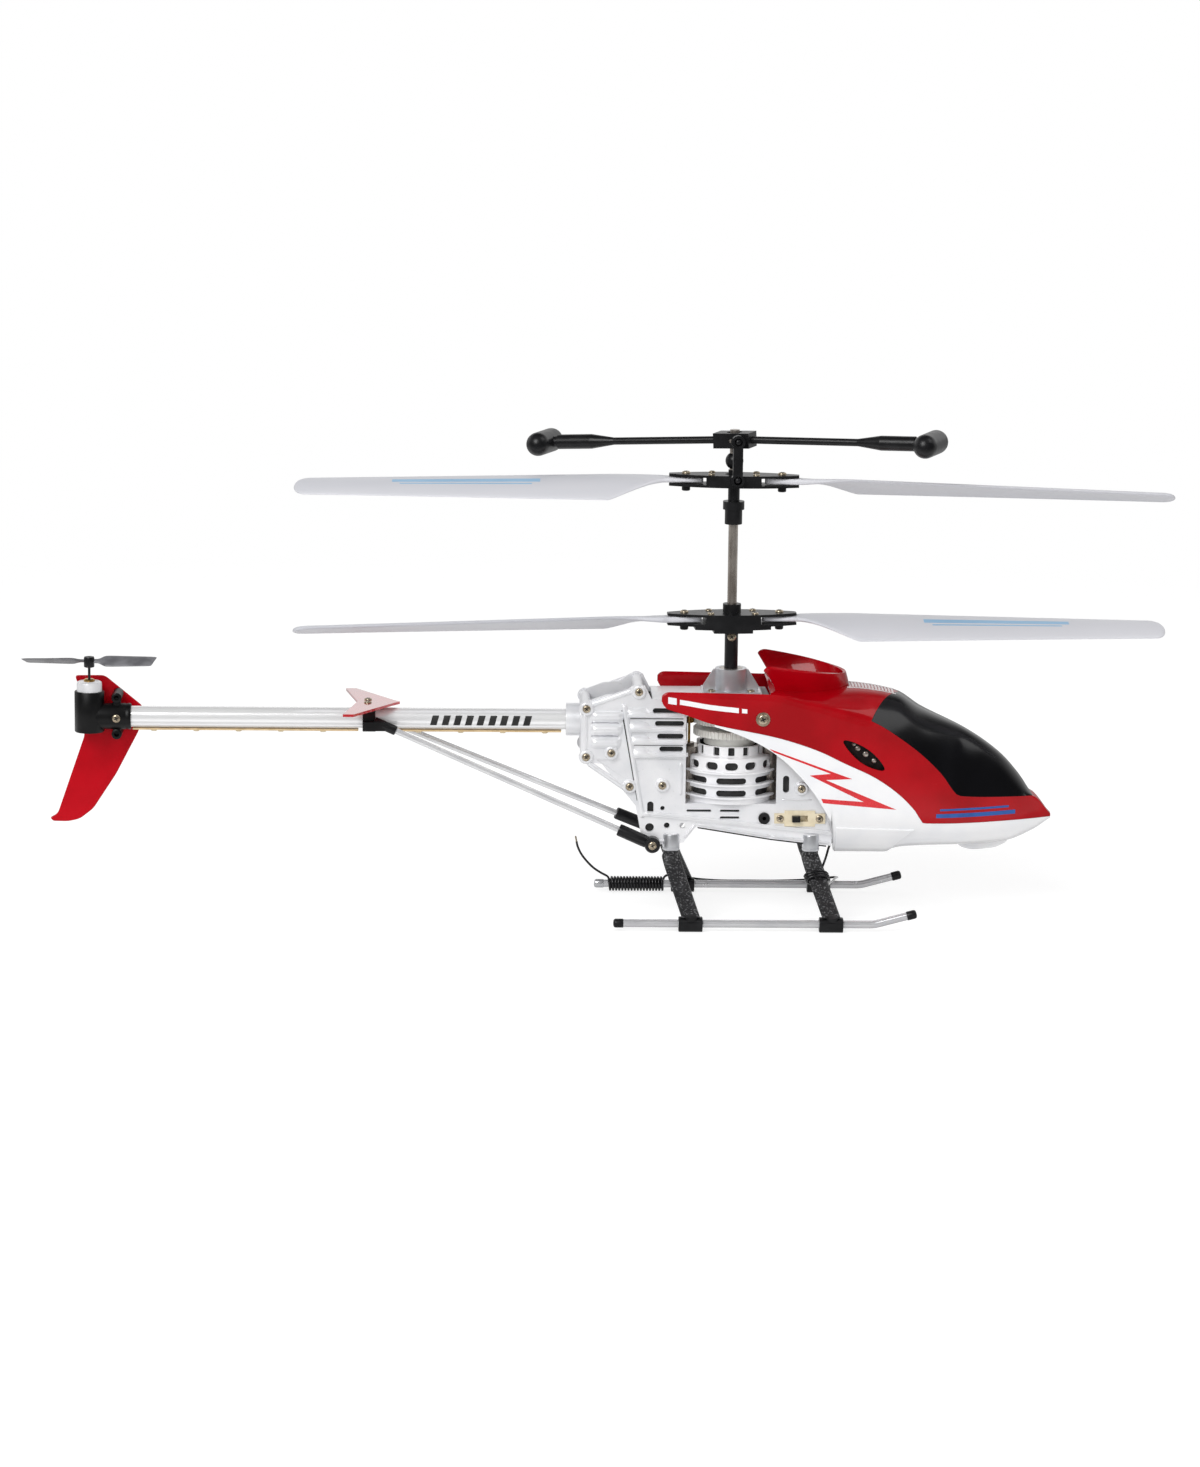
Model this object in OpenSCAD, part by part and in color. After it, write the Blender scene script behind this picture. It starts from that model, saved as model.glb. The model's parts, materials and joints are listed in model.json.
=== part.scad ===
// Coaxial two-rotor remote control helicopter, in millimetres.
// +X is the nose, +Z is up, and the origin lies on the ground under the middle of the whole length.
// The modules work in the mast frame: x runs from the mast axis, z from the ground.

/* [Rotors] */
// Radius from the mast axis to a blade tip
rotor_r = 166.5; // [140:0.5:180]
// Height of the lower rotor plane above the mast housing
lower_rise = 19; // [16:0.2:26]
// Height of the upper rotor plane above the lower one
upper_rise = 52.8; // [46:0.2:60]
// Turn of the upper rotor about the mast at rest
upper_yaw = -3.6; // [-20:0.1:20]
// Turn of the lower rotor about the mast at rest
lower_yaw = 3.5; // [-20:0.1:20]
// Widest chord of a blade
blade_chord = 21; // [16:0.5:24]
// Chord at the blade tip
tip_chord = 9.5; // [7:0.5:12]
// Thickness of a blade
blade_t = 1.8; // [1.2:0.1:2.2]
// Blade pitch at its widest chord
pitch_root = 21; // [12:1:24]
// Blade pitch at the tip
pitch_tip = 18; // [8:1:20]
// Droop of a blade below the rotor plane
blade_droop = 1.6; // [0:0.1:2.5]
// Distance from the mast to a blade bolt
bolt_r = 18.1; // [16:0.1:20]
// Diameter of a blade bolt
bolt_d = 2.2; // [1.6:0.1:2.6]
// Length of a grip plate
grip_l = 49; // [46:0.5:54]
// Width of a grip plate
grip_w = 15; // [13:0.5:17]
// Thickness of a grip plate
grip_t = 0.9; // [0.7:0.1:1.4]
// Gap between the grip plates, where the blade root sits
grip_gap = 2.8; // [2.5:0.1:3.4]

/* [Mast] */
// Diameter of the inner shaft
inner_d = 3.6; // [3:0.1:3.8]
// Diameter of the outer shaft
outer_d = 5.1; // [4.8:0.1:5.6]
// Length of the inner shaft above the flybar pivot
mast_end = 3.8; // [3:0.2:6]
// Room between the upper gear and the deck that carries the mast housing
deck_gap = 3.8; // [3:0.2:5]
// Height of the mast housing above the deck
housing_h = 9.8; // [8:0.2:12]
// Diameter of the mast housing
housing_d = 12; // [11:0.2:14]
// Radial running clearance of a shaft in its bore
run_clear = 0.05; // [0.03:0.01:0.08]

/* [Flybar] */
// Height of the flybar pivot above the upper rotor plane
flybar_rise = 15.4; // [14.4:0.2:18]
// Distance from the mast to a weight
flybar_r = 76.8; // [65:0.2:85]
// Turn of the flybar about the mast at rest
flybar_yaw = -22; // [-40:1:-15]
// Tilt of the flybar at rest
flybar_tilt = 3; // [-8:0.5:8]
// Diameter of a weight
weight_d = 9; // [7:0.2:11]
// Length of a weight
weight_l = 23; // [16:0.5:26]
// Distance of the pitch link from the mast axis
link_r = 9.2; // [9:0.1:11]
// Direction of the pitch link about the mast
link_yaw = -85; // [-95:1:-75]

/* [Drive] */
// Gear module
gear_m = 0.5; // [0.45:0.01:0.52]
// Teeth on a main gear
gear_teeth = 54; // [50:1:56]
// Teeth on a pinion
pinion_teeth = 8; // [8:1:9]
// Thickness of a main gear
gear_t = 2.6; // [2:0.1:3]
// Diameter of a drive motor
motor_d = 10; // [8:0.2:10.4]
// Length of a drive motor can
motor_l = 20; // [16:0.5:20.5]

/* [Frame] */
// Distance from the middle plane to the inside of a side plate
plate_in = 12.5; // [12:0.1:13.5]
// Thickness of a side plate
plate_t = 1.6; // [1.2:0.1:2]
// Height of the floor that carries the motors
floor_z = 45; // [44.6:0.1:46]
// Outer radius of the motor shroud
shroud_r = 16.5; // [15.5:0.1:17.5]
// Diameter of a frame boss
boss_d = 4; // [3.4:0.1:4.6]
// Diameter of the frame and trim screws
screw_d = 1.6; // [1.2:0.1:1.8]

/* [Canopy] */
// Half width of the canopy
canopy_hw = 22.5; // [21.5:0.1:22.8]
// Wall of the canopy, hull and windscreen
canopy_wall = 1.2; // [0.9:0.1:1.5]
// Front of the nose, from the mast axis
nose_x = 123; // [121:0.5:128]
// Rear end of the canopy arms, from the mast axis
arm_x = -27; // [-29:0.5:-24]
// Height of the scoop rim at the rear
scoop_z = 98.4; // [96:0.2:102]

/* [Tail] */
// Distance from the mast axis back to the tail rotor axis
tail_arm = 243; // [230:1:260]
// Radius of the tail propeller
tail_prop_r = 25.5; // [20:0.5:28]
// Height of the tail propeller
tail_prop_z = 96.4; // [96:0.2:99]
// Height of the boom axis
boom_z = 74.5; // [73.5:0.1:75.5]
// Diameter of the boom tube
boom_d = 8; // [7:0.1:8.4]
// Diameter of the tail motor
tail_motor_d = 9.6; // [8:0.2:10]
// Half span of the stabiliser
stab_hw = 27; // [20:0.5:32]
// Diameter of a support strut
strut_d = 2.3; // [1.8:0.1:2.8]

/* [Landing gear] */
// Half the distance between the skids
track_hw = 34; // [30:0.5:35]
// Diameter of a skid tube
skid_d = 3; // [2.6:0.1:3.2]
// Height of a skid tube's axis
skid_z = 3; // [2.9:0.1:3.6]
// Width of a leg
leg_w = 7; // [5:0.2:8]
// Rake of a leg from its socket to its clamp
leg_rake = 6.8; // [4:0.2:9]
// Diameter of a leg socket
socket_d = 5.9; // [5.2:0.1:6.4]
// Height of the bottom of a leg socket
socket_z = 27; // [26:0.2:27.8]

/* [Antenna] */
// Diameter of the antenna wire along its free stretches
wire_d = 0.9; // [0.7:0.05:1]
// Diameter of the wire in the winding
wound_d = 0.7; // [0.5:0.05:0.72]
// Step of the winding from turn to turn
wound_pitch = 1.2; // [1.2:0.01:1.3]
// Whole turns in the winding, which ends half a turn later
wound_turns = 17; // [12:1:17]

/* [Hidden] */
$fn = 48;

// Colours, as the real piece shows them
silver = [0.80, 0.81, 0.82];
steel = [0.62, 0.61, 0.59];
black = [0.06, 0.06, 0.065];
red = [0.66, 0.03, 0.07];
white = [0.93, 0.93, 0.94];
cream = [0.87, 0.83, 0.72];
tan_board = [0.78, 0.66, 0.45];

// Places along the length, and small fits
mast_x = (tail_arm + tail_prop_r - rotor_r) / 2;
seam = 0.1;
plate_out = plate_in + plate_t;
half_gap = 0.05;

// Shafts and their trunnion pins
pin_d = 1.5;
pin_bore = pin_d + 2 * run_clear;
inner_bore = inner_d + 2 * run_clear;
outer_bore = outer_d + 2 * run_clear;
sleeve_d = inner_d + 0.8;
bearing_wall = 1.9;
bearing_h = 3;
grip_h = grip_gap + 2 * grip_t;

// Gears: the inner shaft's gear lies below the outer shaft's
gear_r = gear_m * gear_teeth / 2;
pinion_r = gear_m * pinion_teeth / 2;
motor_x = gear_r + pinion_r;
low_gear_z = floor_z + 24.4;
high_gear_z = low_gear_z + gear_t + 2;
gear_hub = 3;
motor_top = floor_z + motor_l;
motor_shaft_d = 1;

// Heights up the mast, each from the one below it
flange_t = 1.6;
deck_z = high_gear_z + gear_t + gear_hub + deck_gap + flange_t;
housing_top = deck_z + housing_h;
lower_z = housing_top + lower_rise;
outer_top = lower_z + grip_h / 2 + 3;
set_screw_z = lower_z - grip_h / 2 - 4.4;
upper_z = lower_z + upper_rise;
flybar_z = upper_z + flybar_rise;
mast_top = flybar_z + mast_end;

// Pitch link: how far it moves for the flybar, and how far it moves the upper head
link_on_bar = link_r * cos(link_yaw - flybar_yaw);
link_on_head = -link_r * sin(link_yaw - upper_yaw);
head_tilt = flybar_tilt * link_on_bar / link_on_head;
ball_d = 2.6;
eye_d = 5.1;
eye_bore = ball_d + 0.6;
link_low_z = upper_z + 0.9;
flybar_pin_r = 4.4;

// Frame: boss centres and screw places in side view
rear_bosses = [[-55, 81.3], [-35.3, 87.9], [-55, 62.8], [-45.5, 64.4], [-38.4, 51.5]];
plate_bosses = [[-26, 52], [26.8, 51.1]];
frame_bosses = concat(rear_bosses, plate_bosses);
boss_out = plate_out + 1.2;
screw_head_d = 2.9;
screw_head_h = 0.7;
screw_l = 5;
canopy_screw_at = [11.2, 79.2];
switch_at = [26.3, 39.5];
jack_at = [12.8, 39.5];
jack_d = 4.4;
eye_w = 5;
eye_gap = 0.1;
strut_low = [-29.6, plate_out + eye_gap + eye_w / 2, 29.6];
strut_high = [-131, 6, 72.5];
socket_xs = [-22.3, 30.7];
socket_top = socket_z + 6.5;
socket_y = plate_in + 0.5;
peg_l = 3.8;
shelf_front = 62;
boom_rear = -tail_arm + tail_motor_d / 2 + 0.4;
boom_front = -44;

// Shared shapes

module at_mast() {
    translate([mast_x, 0, 0]) children();
}

// A round bar between two points
module rod(p, q, d) {
    v = q - p;
    translate(p)
        rotate([0, acos(v[2] / norm(v)), atan2(v[1], v[0])])
            cylinder(h = norm(v), d = d);
}

// A side profile, drawn in x and z, given a thickness from y0 to y1
module side_slab(y0, y1) {
    translate([0, y1, 0])
        rotate([90, 0, 0])
            linear_extrude(y1 - y0) children();
}

// A cylinder across the body from y0 to y1, at a point of the side view
module cross_pin(at, y0, y1, d) {
    translate([at[0], y1, at[1]])
        rotate([90, 0, 0])
            cylinder(h = y1 - y0, d = d);
}

// A slot with round ends, long along x
module slot(l, h) {
    square([l - h, h], center = true);
    for (s = [-1, 1])
        translate([s * (l - h) / 2, 0]) circle(d = h);
}

// A ring about the mast axis
module ring(z0, z1, d_out, d_in) {
    translate([0, 0, z0])
        difference() {
            cylinder(h = z1 - z0, d = d_out);
            translate([0, 0, -1]) cylinder(h = z1 - z0 + 2, d = d_in);
        }
}

// Screw with a flat head, its head's seat at the origin and its shank along -z
module screw(shank_d, shank_l, head_d, head_h) {
    cylinder(h = head_h, d = head_d);
    translate([0, 0, -shank_l]) cylinder(h = shank_l, d = shank_d);
}

function span(a, b, n) = [for (k = [0 : n - 1]) a + (b - a) * k / n];
function lerp(a, b, t) = a + (b - a) * t;

// Sheet of even wall between two grids of points; keep says which cells it has
module thick_sheet(outer, inner, keep) {
    ni = len(outer);
    nj = len(outer[0]);
    n = ni * nj;
    function at(i, j) = i * nj + j;
    function has(i, j) = i >= 0 && j >= 0 && i < ni - 1 && j < nj - 1 && keep[i][j];
    function quad(a, b, c, d) = [[a, b, c], [a, c, d]];
    function rim(open, a, b) = !open ? [] : a < b ? quad(b, a, n + a, n + b) : quad(a, n + a, n + b, b);
    faces = [for (i = [0 : ni - 2]) for (j = [0 : nj - 2]) if (keep[i][j]) each concat(
        quad(at(i, j), at(i, j + 1), at(i + 1, j + 1), at(i + 1, j)),
        quad(n + at(i, j), n + at(i + 1, j), n + at(i + 1, j + 1), n + at(i, j + 1)),
        rim(!has(i - 1, j), at(i, j), at(i, j + 1)),
        rim(!has(i, j + 1), at(i, j + 1), at(i + 1, j + 1)),
        rim(!has(i + 1, j), at(i + 1, j + 1), at(i + 1, j)),
        rim(!has(i, j - 1), at(i + 1, j), at(i, j)))];
    polyhedron(concat([for (r = outer) each r], [for (r = inner) each r]), faces, convexity = 8);
}

// Closed tube with a ring of points at each station of a route, set square to the route;
// facing is a direction that the route never runs along
module tube(path, d, sides, facing) {
    last = len(path) - 1;
    function dir(i) = path[min(i + 1, last)] - path[max(i - 1, 0)];
    function unit(v) = v / norm(v);
    rings = [for (i = [0 : last])
        let (t = unit(dir(i)), u = unit(cross(t, facing)), w = cross(u, t))
        for (k = [0 : sides - 1])
            path[i] + d / 2 * (u * cos(360 * k / sides) + w * sin(360 * k / sides))];
    walls = [for (i = [0 : last - 1]) for (k = [0 : sides - 1])
        let (a = i * sides + k, b = i * sides + (k + 1) % sides)
        each [[a, b + sides, a + sides], [a, b, b + sides]]];
    near_cap = [for (k = [1 : sides - 2]) [0, k + 1, k]];
    far = last * sides;
    far_cap = [for (k = [1 : sides - 2]) [far, far + k, far + k + 1]];
    polyhedron(rings, concat(walls, near_cap, far_cap), convexity = 10);
}

// Frame

window_hw = shroud_r + 0.7;
window_top = high_gear_z + gear_t + 2;
plate_front = 38.6;
plate_rear = rear_bosses[0][0] - 2;
bulkhead_t = 2;

module plate_outline() {
    polygon([[plate_rear, 61], [plate_rear, 83], [-48, 86.4], [-42, 87], [-37.5, 90],
        [-33, 90], [-30.5, deck_z], [14, deck_z], [22, 70], [plate_front, 52],
        [plate_front, 28.9], [15.2, 31.5], [-12.5, 36], [-13.4, 35.6], [-17.7, 29.8],
        [-33, 28.6], [-36, 44], [-41, 50], [-49, 60]]);
}

// Cuts that both side plates have
module plate_cuts() {
    translate([-window_hw, floor_z]) square([2 * window_hw, window_top - floor_z]);
    for (k = [0 : 3])
        translate([-24 + 0.4 * k, 80.6 - 4.9 * k]) slot(12 - k, 2);
    translate([-30.4, 43]) rotate(90) slot(5.3, 2.4);
    translate([20.9, 52.6]) rotate(90) slot(6.6, 2.4);
    for (h = [[-25.8, 43.1, 1.7], [-30.6, 35.6, 3.3], [-24.1, 36.4, 2.2], [-18.2, 36.4, 2.2]])
        translate([h[0], h[1]]) circle(d = h[2]);
    for (s = [[-12, 42.2, 9.4], [-0.3, 42.2, 7.4], [-0.3, 39.6, 7.4]])
        translate([s[0], s[1]]) slot(s[2], 0.9);
    polygon([[-53, 66.5], [-53, 78.5], [-43.5, 80.5], [-42.5, 72.5], [-43.5, 67.5]]);
    polygon([[-51, 61.6], [-41.5, 62], [-39.5, 54]]);
}

// Bars that stand proud of the fluted rear part of a side plate
module plate_flutes() {
    for (z = [79, 73.5, 68.7, 63.5])
        translate([-39.5 + (79 - z) * 0.15, z - 1.1]) square([21.5 - (79 - z) * 0.1, 2.2]);
    polygon([[-41.4, 82.4], [-40, 82.4], [-33, 40], [-34.4, 40]]);
    polygon([[-33, 40.4], [-33, 42], [plate_front, 34.6], [plate_front, 33.2]]);
}

// One side of the frame, drawn for the right (-Y) side
module frame_side() {
    difference() {
        union() {
            side_slab(-plate_out, -plate_in) plate_outline();
            side_slab(-plate_out - 0.9, -plate_out) plate_flutes();
            for (b = frame_bosses)
                cross_pin(b, -boss_out, b[0] > 0 ? -plate_in : -half_gap, boss_d);
            cross_pin(canopy_screw_at, -canopy_hw + canopy_wall + 0.5, -plate_in, 5);
            for (x = socket_xs)
                translate([x, -socket_y, socket_z])
                    cylinder(h = socket_top - socket_z, d = socket_d);
            translate([-window_hw - 3, -plate_in, floor_z - flange_t])
                cube([shelf_front + window_hw + 3, plate_in - half_gap, flange_t]);
            translate([-30, -plate_in, deck_z - flange_t])
                cube([42, plate_in - half_gap, flange_t]);
            translate([plate_rear, -plate_in, 64])
                cube([bulkhead_t, plate_in - half_gap, 18]);
        }
        side_slab(-plate_out - 2, -plate_in) plate_cuts();
        for (b = frame_bosses)
            cross_pin(b, -boss_out - 1, -boss_out + screw_l, screw_d);
        cross_pin(canopy_screw_at, -canopy_hw, -plate_in + 1, screw_d);
        translate([0, 0, deck_z - 3]) cylinder(h = 6, r = outer_d / 2 + 2);
        for (s = [-1, 1])
            translate([s * 7.5, -5, deck_z - 3]) cylinder(h = 6, d = screw_d);
        rod([plate_rear - 1, 0, boom_z], [plate_rear + 4, 0, boom_z], boom_d);
        for (x = socket_xs)
            translate([x, -socket_y, socket_z - 1]) cylinder(h = peg_l + 1.2, d = screw_d);
        cross_pin([strut_low[0], strut_low[2]], -plate_out - 2, -plate_in + 1, screw_d);
    }
}

// Openings for the switch and the jack, on the right side only
module frame_right() {
    color(silver) at_mast()
        difference() {
            frame_side();
            cross_pin(jack_at, -plate_out - 3, -plate_in + 1, jack_d);
            side_slab(-plate_out - 3, -plate_in + 1)
                translate(switch_at) square([switch_box_l, switch_box_h], center = true);
            for (s = [-1, 1])
                cross_pin(switch_at + [s * switch_pitch / 2, 0], -plate_out - 3, -plate_in + 1, screw_d);
        }
}

module frame_left() {
    color(silver) at_mast() mirror([0, 1, 0]) frame_side();
}

module frame_screws() {
    color(steel) at_mast()
        for (s = [-1, 1]) {
            for (b = frame_bosses)
                translate([b[0], s * boss_out, b[1]])
                    rotate([-90 * s, 0, 0]) screw(screw_d, screw_l, screw_head_d, screw_head_h);
            translate([strut_low[0], s * (strut_low[1] + eye_w / 2), strut_low[2]])
                rotate([-90 * s, 0, 0])
                    screw(screw_d, eye_w + eye_gap + plate_t, screw_head_d, screw_head_h);
            for (e = [-1, 1])
                translate([7.5 * e, 5 * s, deck_z + housing_base])
                    screw(screw_d, housing_base + 1.5, screw_head_d, screw_head_h);
        }
}

// Half of the finned, slotted drum round the motors, drawn for the right side
shroud_wall = 1.2;
shroud_top = floor_z + 17.7;
cone_top = shroud_top + 4;
cone_r = gear_r - 0.6;
motor_slot = motor_d + 1;

module shroud_side() {
    difference() {
        union() {
            ring(floor_z, shroud_top, 2 * shroud_r, 2 * (shroud_r - shroud_wall));
            for (z = [2.2, 7, 11.6])
                ring(floor_z + z, floor_z + z + 0.8, 2 * shroud_r + 3.6, 2 * shroud_r - 1);
            translate([0, 0, shroud_top])
                difference() {
                    cylinder(h = cone_top - shroud_top, r1 = shroud_r, r2 = cone_r);
                    translate([0, 0, -0.01])
                        cylinder(h = cone_top - shroud_top + 0.02,
                            r1 = shroud_r - shroud_wall, r2 = cone_r - shroud_wall);
                }
        }
        translate([-30, -motor_slot / 2, floor_z - 1]) cube([60, 60, 40]);
        for (a = [-54, 0, 54])
            for (z = [4.2, 8.9])
                rotate([0, 0, a])
                    translate([0, 0, floor_z + z])
                        side_slab(-30, -8) slot(11, 1.9);
        for (k = [-2 : 2])
            rotate([0, 0, 27 * k])
                translate([0, 0, floor_z + 14.6])
                    side_slab(-30, -8) slot(4.4, 2.4);
        for (k = [-2 : 2])
            rotate([0, 0, 25 * k])
                translate([-0.8, -30, shroud_top + 0.5]) cube([1.6, 22, 2.8]);
    }
}

module motor_shroud_right() {
    color(silver) at_mast() shroud_side();
}

module motor_shroud_left() {
    color(silver) at_mast() mirror([0, 1, 0]) shroud_side();
}

// Mast housing, bearings, shafts

housing_base = 1.6;
bearing_d = outer_bore + 2 * bearing_wall;

module mast_housing() {
    color(silver) at_mast()
        difference() {
            union() {
                translate([-11, -7.5, deck_z]) cube([22, 15, housing_base]);
                translate([0, 0, deck_z]) cylinder(h = housing_h, d = housing_d);
                for (a = [0, 180])
                    rotate([0, 0, a])
                        side_slab(-0.8, 0.8)
                            polygon([[housing_d / 2 - 1, deck_z + 1], [10.5, deck_z + 1],
                                [10.5, deck_z + 3], [housing_d / 2 + 0.6, housing_top - 0.5],
                                [housing_d / 2 - 1, housing_top - 0.5]]);
            }
            translate([0, 0, deck_z - 1]) cylinder(h = housing_h + 2, d = bearing_d);
            for (e = [-1, 1])
                for (s = [-1, 1])
                    translate([7.5 * e, 5 * s, deck_z - 1]) cylinder(h = 8, d = screw_d);
        }
}

module shaft_bearings() {
    color(steel) at_mast() {
        ring(deck_z, deck_z + bearing_h, bearing_d, outer_bore);
        ring(housing_top - bearing_h, housing_top, bearing_d, outer_bore);
        ring(floor_z, floor_z + 4, inner_bore + 2 * bearing_wall, inner_bore);
    }
}

module outer_shaft() {
    color(black) at_mast()
        difference() {
            ring(high_gear_z - 1, outer_top, outer_d, inner_bore);
            rotate([90, 0, 0]) translate([0, set_screw_z, 0]) cylinder(h = 5, d = screw_d);
        }
}

module inner_shaft() {
    color(steel) at_mast() {
        translate([0, 0, floor_z + 0.3]) cylinder(h = mast_top - floor_z - 0.3, d = inner_d);
        rotate([0, 0, flybar_yaw])
            rod([0, -flybar_pin_r, flybar_z], [0, flybar_pin_r, flybar_z], pin_d);
    }
}

// Sleeve, collars and bead on the inner shaft, with the trunnion that carries the upper head
module mast_sleeve() {
    bead_d = 6.8;
    color(black) at_mast() {
        difference() {
            union() {
                translate([0, 0, upper_z - 16.6]) cylinder(h = 5.7, d = sleeve_d + 2.2);
                translate([0, 0, upper_z - 11]) cylinder(h = 3.1, d = sleeve_d + 3.7);
                translate([0, 0, upper_z - 8]) cylinder(h = 12, d = sleeve_d);
                rotate([0, 0, upper_yaw]) rod([-9, 0, upper_z], [9, 0, upper_z], pin_d);
            }
            translate([0, 0, upper_z - 20]) cylinder(h = 30, d = inner_d);
        }
        difference() {
            translate([0, 0, upper_z + 7.4]) sphere(d = bead_d);
            translate([0, 0, upper_z]) cylinder(h = 20, d = inner_d);
        }
    }
}

// Drive

// Gear with straight-sided teeth, thinner than half the pitch so that they run free
module gear(teeth, h) {
    r = gear_m * teeth / 2;
    step = 360 / teeth;
    root = r - 1.15 * gear_m;
    tip = r + 0.85 * gear_m;
    linear_extrude(h)
        polygon([for (k = [0 : teeth - 1])
            for (p = [[root, -0.29], [tip, -0.12], [tip, 0.12], [root, 0.29]])
                p[0] * [cos((k + p[1]) * step), sin((k + p[1]) * step)]]);
}

module main_gear(z, hub_z, hub_d, bore) {
    difference() {
        union() {
            translate([0, 0, z]) gear(gear_teeth, gear_t);
            translate([0, 0, min(z, hub_z)])
                cylinder(h = hub_z < z ? z - hub_z + 0.5 : hub_z - z, d = hub_d);
        }
        translate([0, 0, min(z, hub_z) - 1]) cylinder(h = 20, d = bore);
        for (k = [0 : 5])
            rotate([0, 0, 60 * k])
                translate([gear_r * 0.56, 0, z - 10]) cylinder(h = 30, d = gear_r * 0.26);
    }
}

module lower_rotor_gear() {
    color(white) at_mast()
        main_gear(high_gear_z, high_gear_z + gear_t + gear_hub, gear_r * 0.66, outer_d);
}

module upper_rotor_gear() {
    color(white) at_mast()
        main_gear(low_gear_z, low_gear_z - 3.4, gear_r * 1.46, inner_d);
}

module drive_motor(x) {
    color(steel) at_mast()
        translate([x, 0, 0])
            difference() {
                union() {
                    translate([0, 0, floor_z]) cylinder(h = motor_l, d = motor_d);
                    translate([0, 0, motor_top]) cylinder(h = 1, d = motor_d * 0.4);
                }
                translate([0, 0, motor_top - 6])
                    cylinder(h = 10, d = motor_shaft_d + 2 * run_clear);
            }
}

module front_motor() {
    drive_motor(motor_x);
}

module rear_motor() {
    drive_motor(-motor_x);
}

// Pinion on its motor shaft, turned so that a gap of its teeth faces a tooth of the gear
module pinion(x, z) {
    facing = x > 0 ? 180 : 0;
    half_tooth = x > 0 || gear_teeth % 2 == 0 ? 180 / pinion_teeth : 0;
    color("goldenrod") at_mast()
        translate([x, 0, 0]) {
            translate([0, 0, motor_top - 5.5])
                cylinder(h = z + gear_t + 1 - motor_top + 5.5, d = motor_shaft_d);
            translate([0, 0, z - 0.3])
                rotate([0, 0, facing + half_tooth]) gear(pinion_teeth, gear_t + 0.6);
        }
}

module front_pinion() {
    pinion(motor_x, low_gear_z);
}

module rear_pinion() {
    pinion(-motor_x, high_gear_z);
}

// Rotors

// Blade stations, from the root to the tip: radius, chord and share of the pitch
tongue_w = 7;
tongue_t = grip_gap - 0.7;
lead = 4.5;
wide_r = bolt_r + 29;
function blade_r(t) = lerp(wide_r, rotor_r, t);
blade_stations = concat(
    [[bolt_r - 6.5, 3, 0], [bolt_r - 5, 5.6, 0], [bolt_r - 3, tongue_w, 0],
        [bolt_r + 6.8, tongue_w, 0], [bolt_r + 9.5, tongue_w + 2.5, 0.25],
        [bolt_r + 14, tongue_w + 7, 0.6], [bolt_r + 21, blade_chord - 2, 0.9]],
    [for (t = [0, 0.25, 0.5, 0.75, 0.93]) [blade_r(t), lerp(blade_chord, tip_chord, t), 1]],
    [[rotor_r - 2, tip_chord * 0.86, 1], [rotor_r, tip_chord * 0.4, 1]]);

// Section of a blade: shares of the chord and of half the thickness, round the edge
blade_section = [[0, 0], [0.1, 0.8], [0.4, 1], [0.75, 0.8], [1, 0.3],
    [1, -0.3], [0.75, -0.8], [0.4, -1], [0.1, -0.8]];

// One station of the blade: the leading edge is straight, the root is centred on its bolt
function blade_ring(st) =
    let (r = st[0],
        c = st[1],
        out = max(0, r - bolt_r - 6.8),
        front = min(lead, c / 2 + out * 0.25),
        pitch = st[2] * lerp(pitch_root, pitch_tip, max(0, (r - wide_r) / (rotor_r - wide_r))),
        t = out == 0 ? tongue_t : lerp(tongue_t, blade_t, min(1, out / 20)),
        z0 = -out * tan(blade_droop))
    [for (p = blade_section)
        let (y = front - c * p[0], z = p[1] * t / 2)
        [r, y * cos(pitch) - z * sin(pitch), z0 + y * sin(pitch) + z * cos(pitch)]];

// Blade along +x that leads on its +y edge, with the bore for its bolt
module blade() {
    n = len(blade_section);
    last = len(blade_stations) - 1;
    walls = [for (i = [0 : last - 1]) for (k = [0 : n - 1])
        let (a = i * n + k, b = i * n + (k + 1) % n)
        each [[a, b + n, b], [a, a + n, b + n]]];
    root_cap = [for (k = [1 : n - 2]) [0, k, k + 1]];
    far = last * n;
    tip_cap = [for (k = [1 : n - 2]) [far, far + k + 1, far + k]];
    difference() {
        polyhedron([for (st = blade_stations) each blade_ring(st)],
            concat(walls, root_cap, tip_cap), convexity = 4);
        translate([bolt_r, 0, -5]) cylinder(h = 10, d = bolt_d + 2 * run_clear);
    }
}

// Frame of the upper head, tilted about the blade axis by its link
module upper_head() {
    at_mast()
        translate([0, 0, upper_z])
            rotate([0, 0, upper_yaw])
                rotate([-head_tilt, 0, 0]) children();
}

module lower_head() {
    at_mast()
        translate([0, 0, lower_z])
            rotate([0, 0, lower_yaw]) children();
}

module lower_blade_a() {
    color(white) lower_head() blade();
}

module lower_blade_b() {
    color(white) lower_head() rotate([0, 0, 180]) blade();
}

module upper_blade_a() {
    color(white) upper_head() mirror([0, 1, 0]) blade();
}

module upper_blade_b() {
    color(white) upper_head() rotate([0, 0, 180]) mirror([0, 1, 0]) blade();
}

// Lens-shaped outline of a grip plate, cut off at both ends
module grip_outline(l) {
    long = grip_l / 2 + 3.5;
    r = (long * long + grip_w * grip_w / 4) / grip_w;
    intersection() {
        translate([0, r - grip_w / 2]) circle(r = r, $fn = 240);
        translate([0, grip_w / 2 - r]) circle(r = r, $fn = 240);
        square([l, grip_w], center = true);
    }
}

hub_l = 20.8;
hub_screw_x = 8.4;
hub_screw_y = 4.2;

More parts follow.
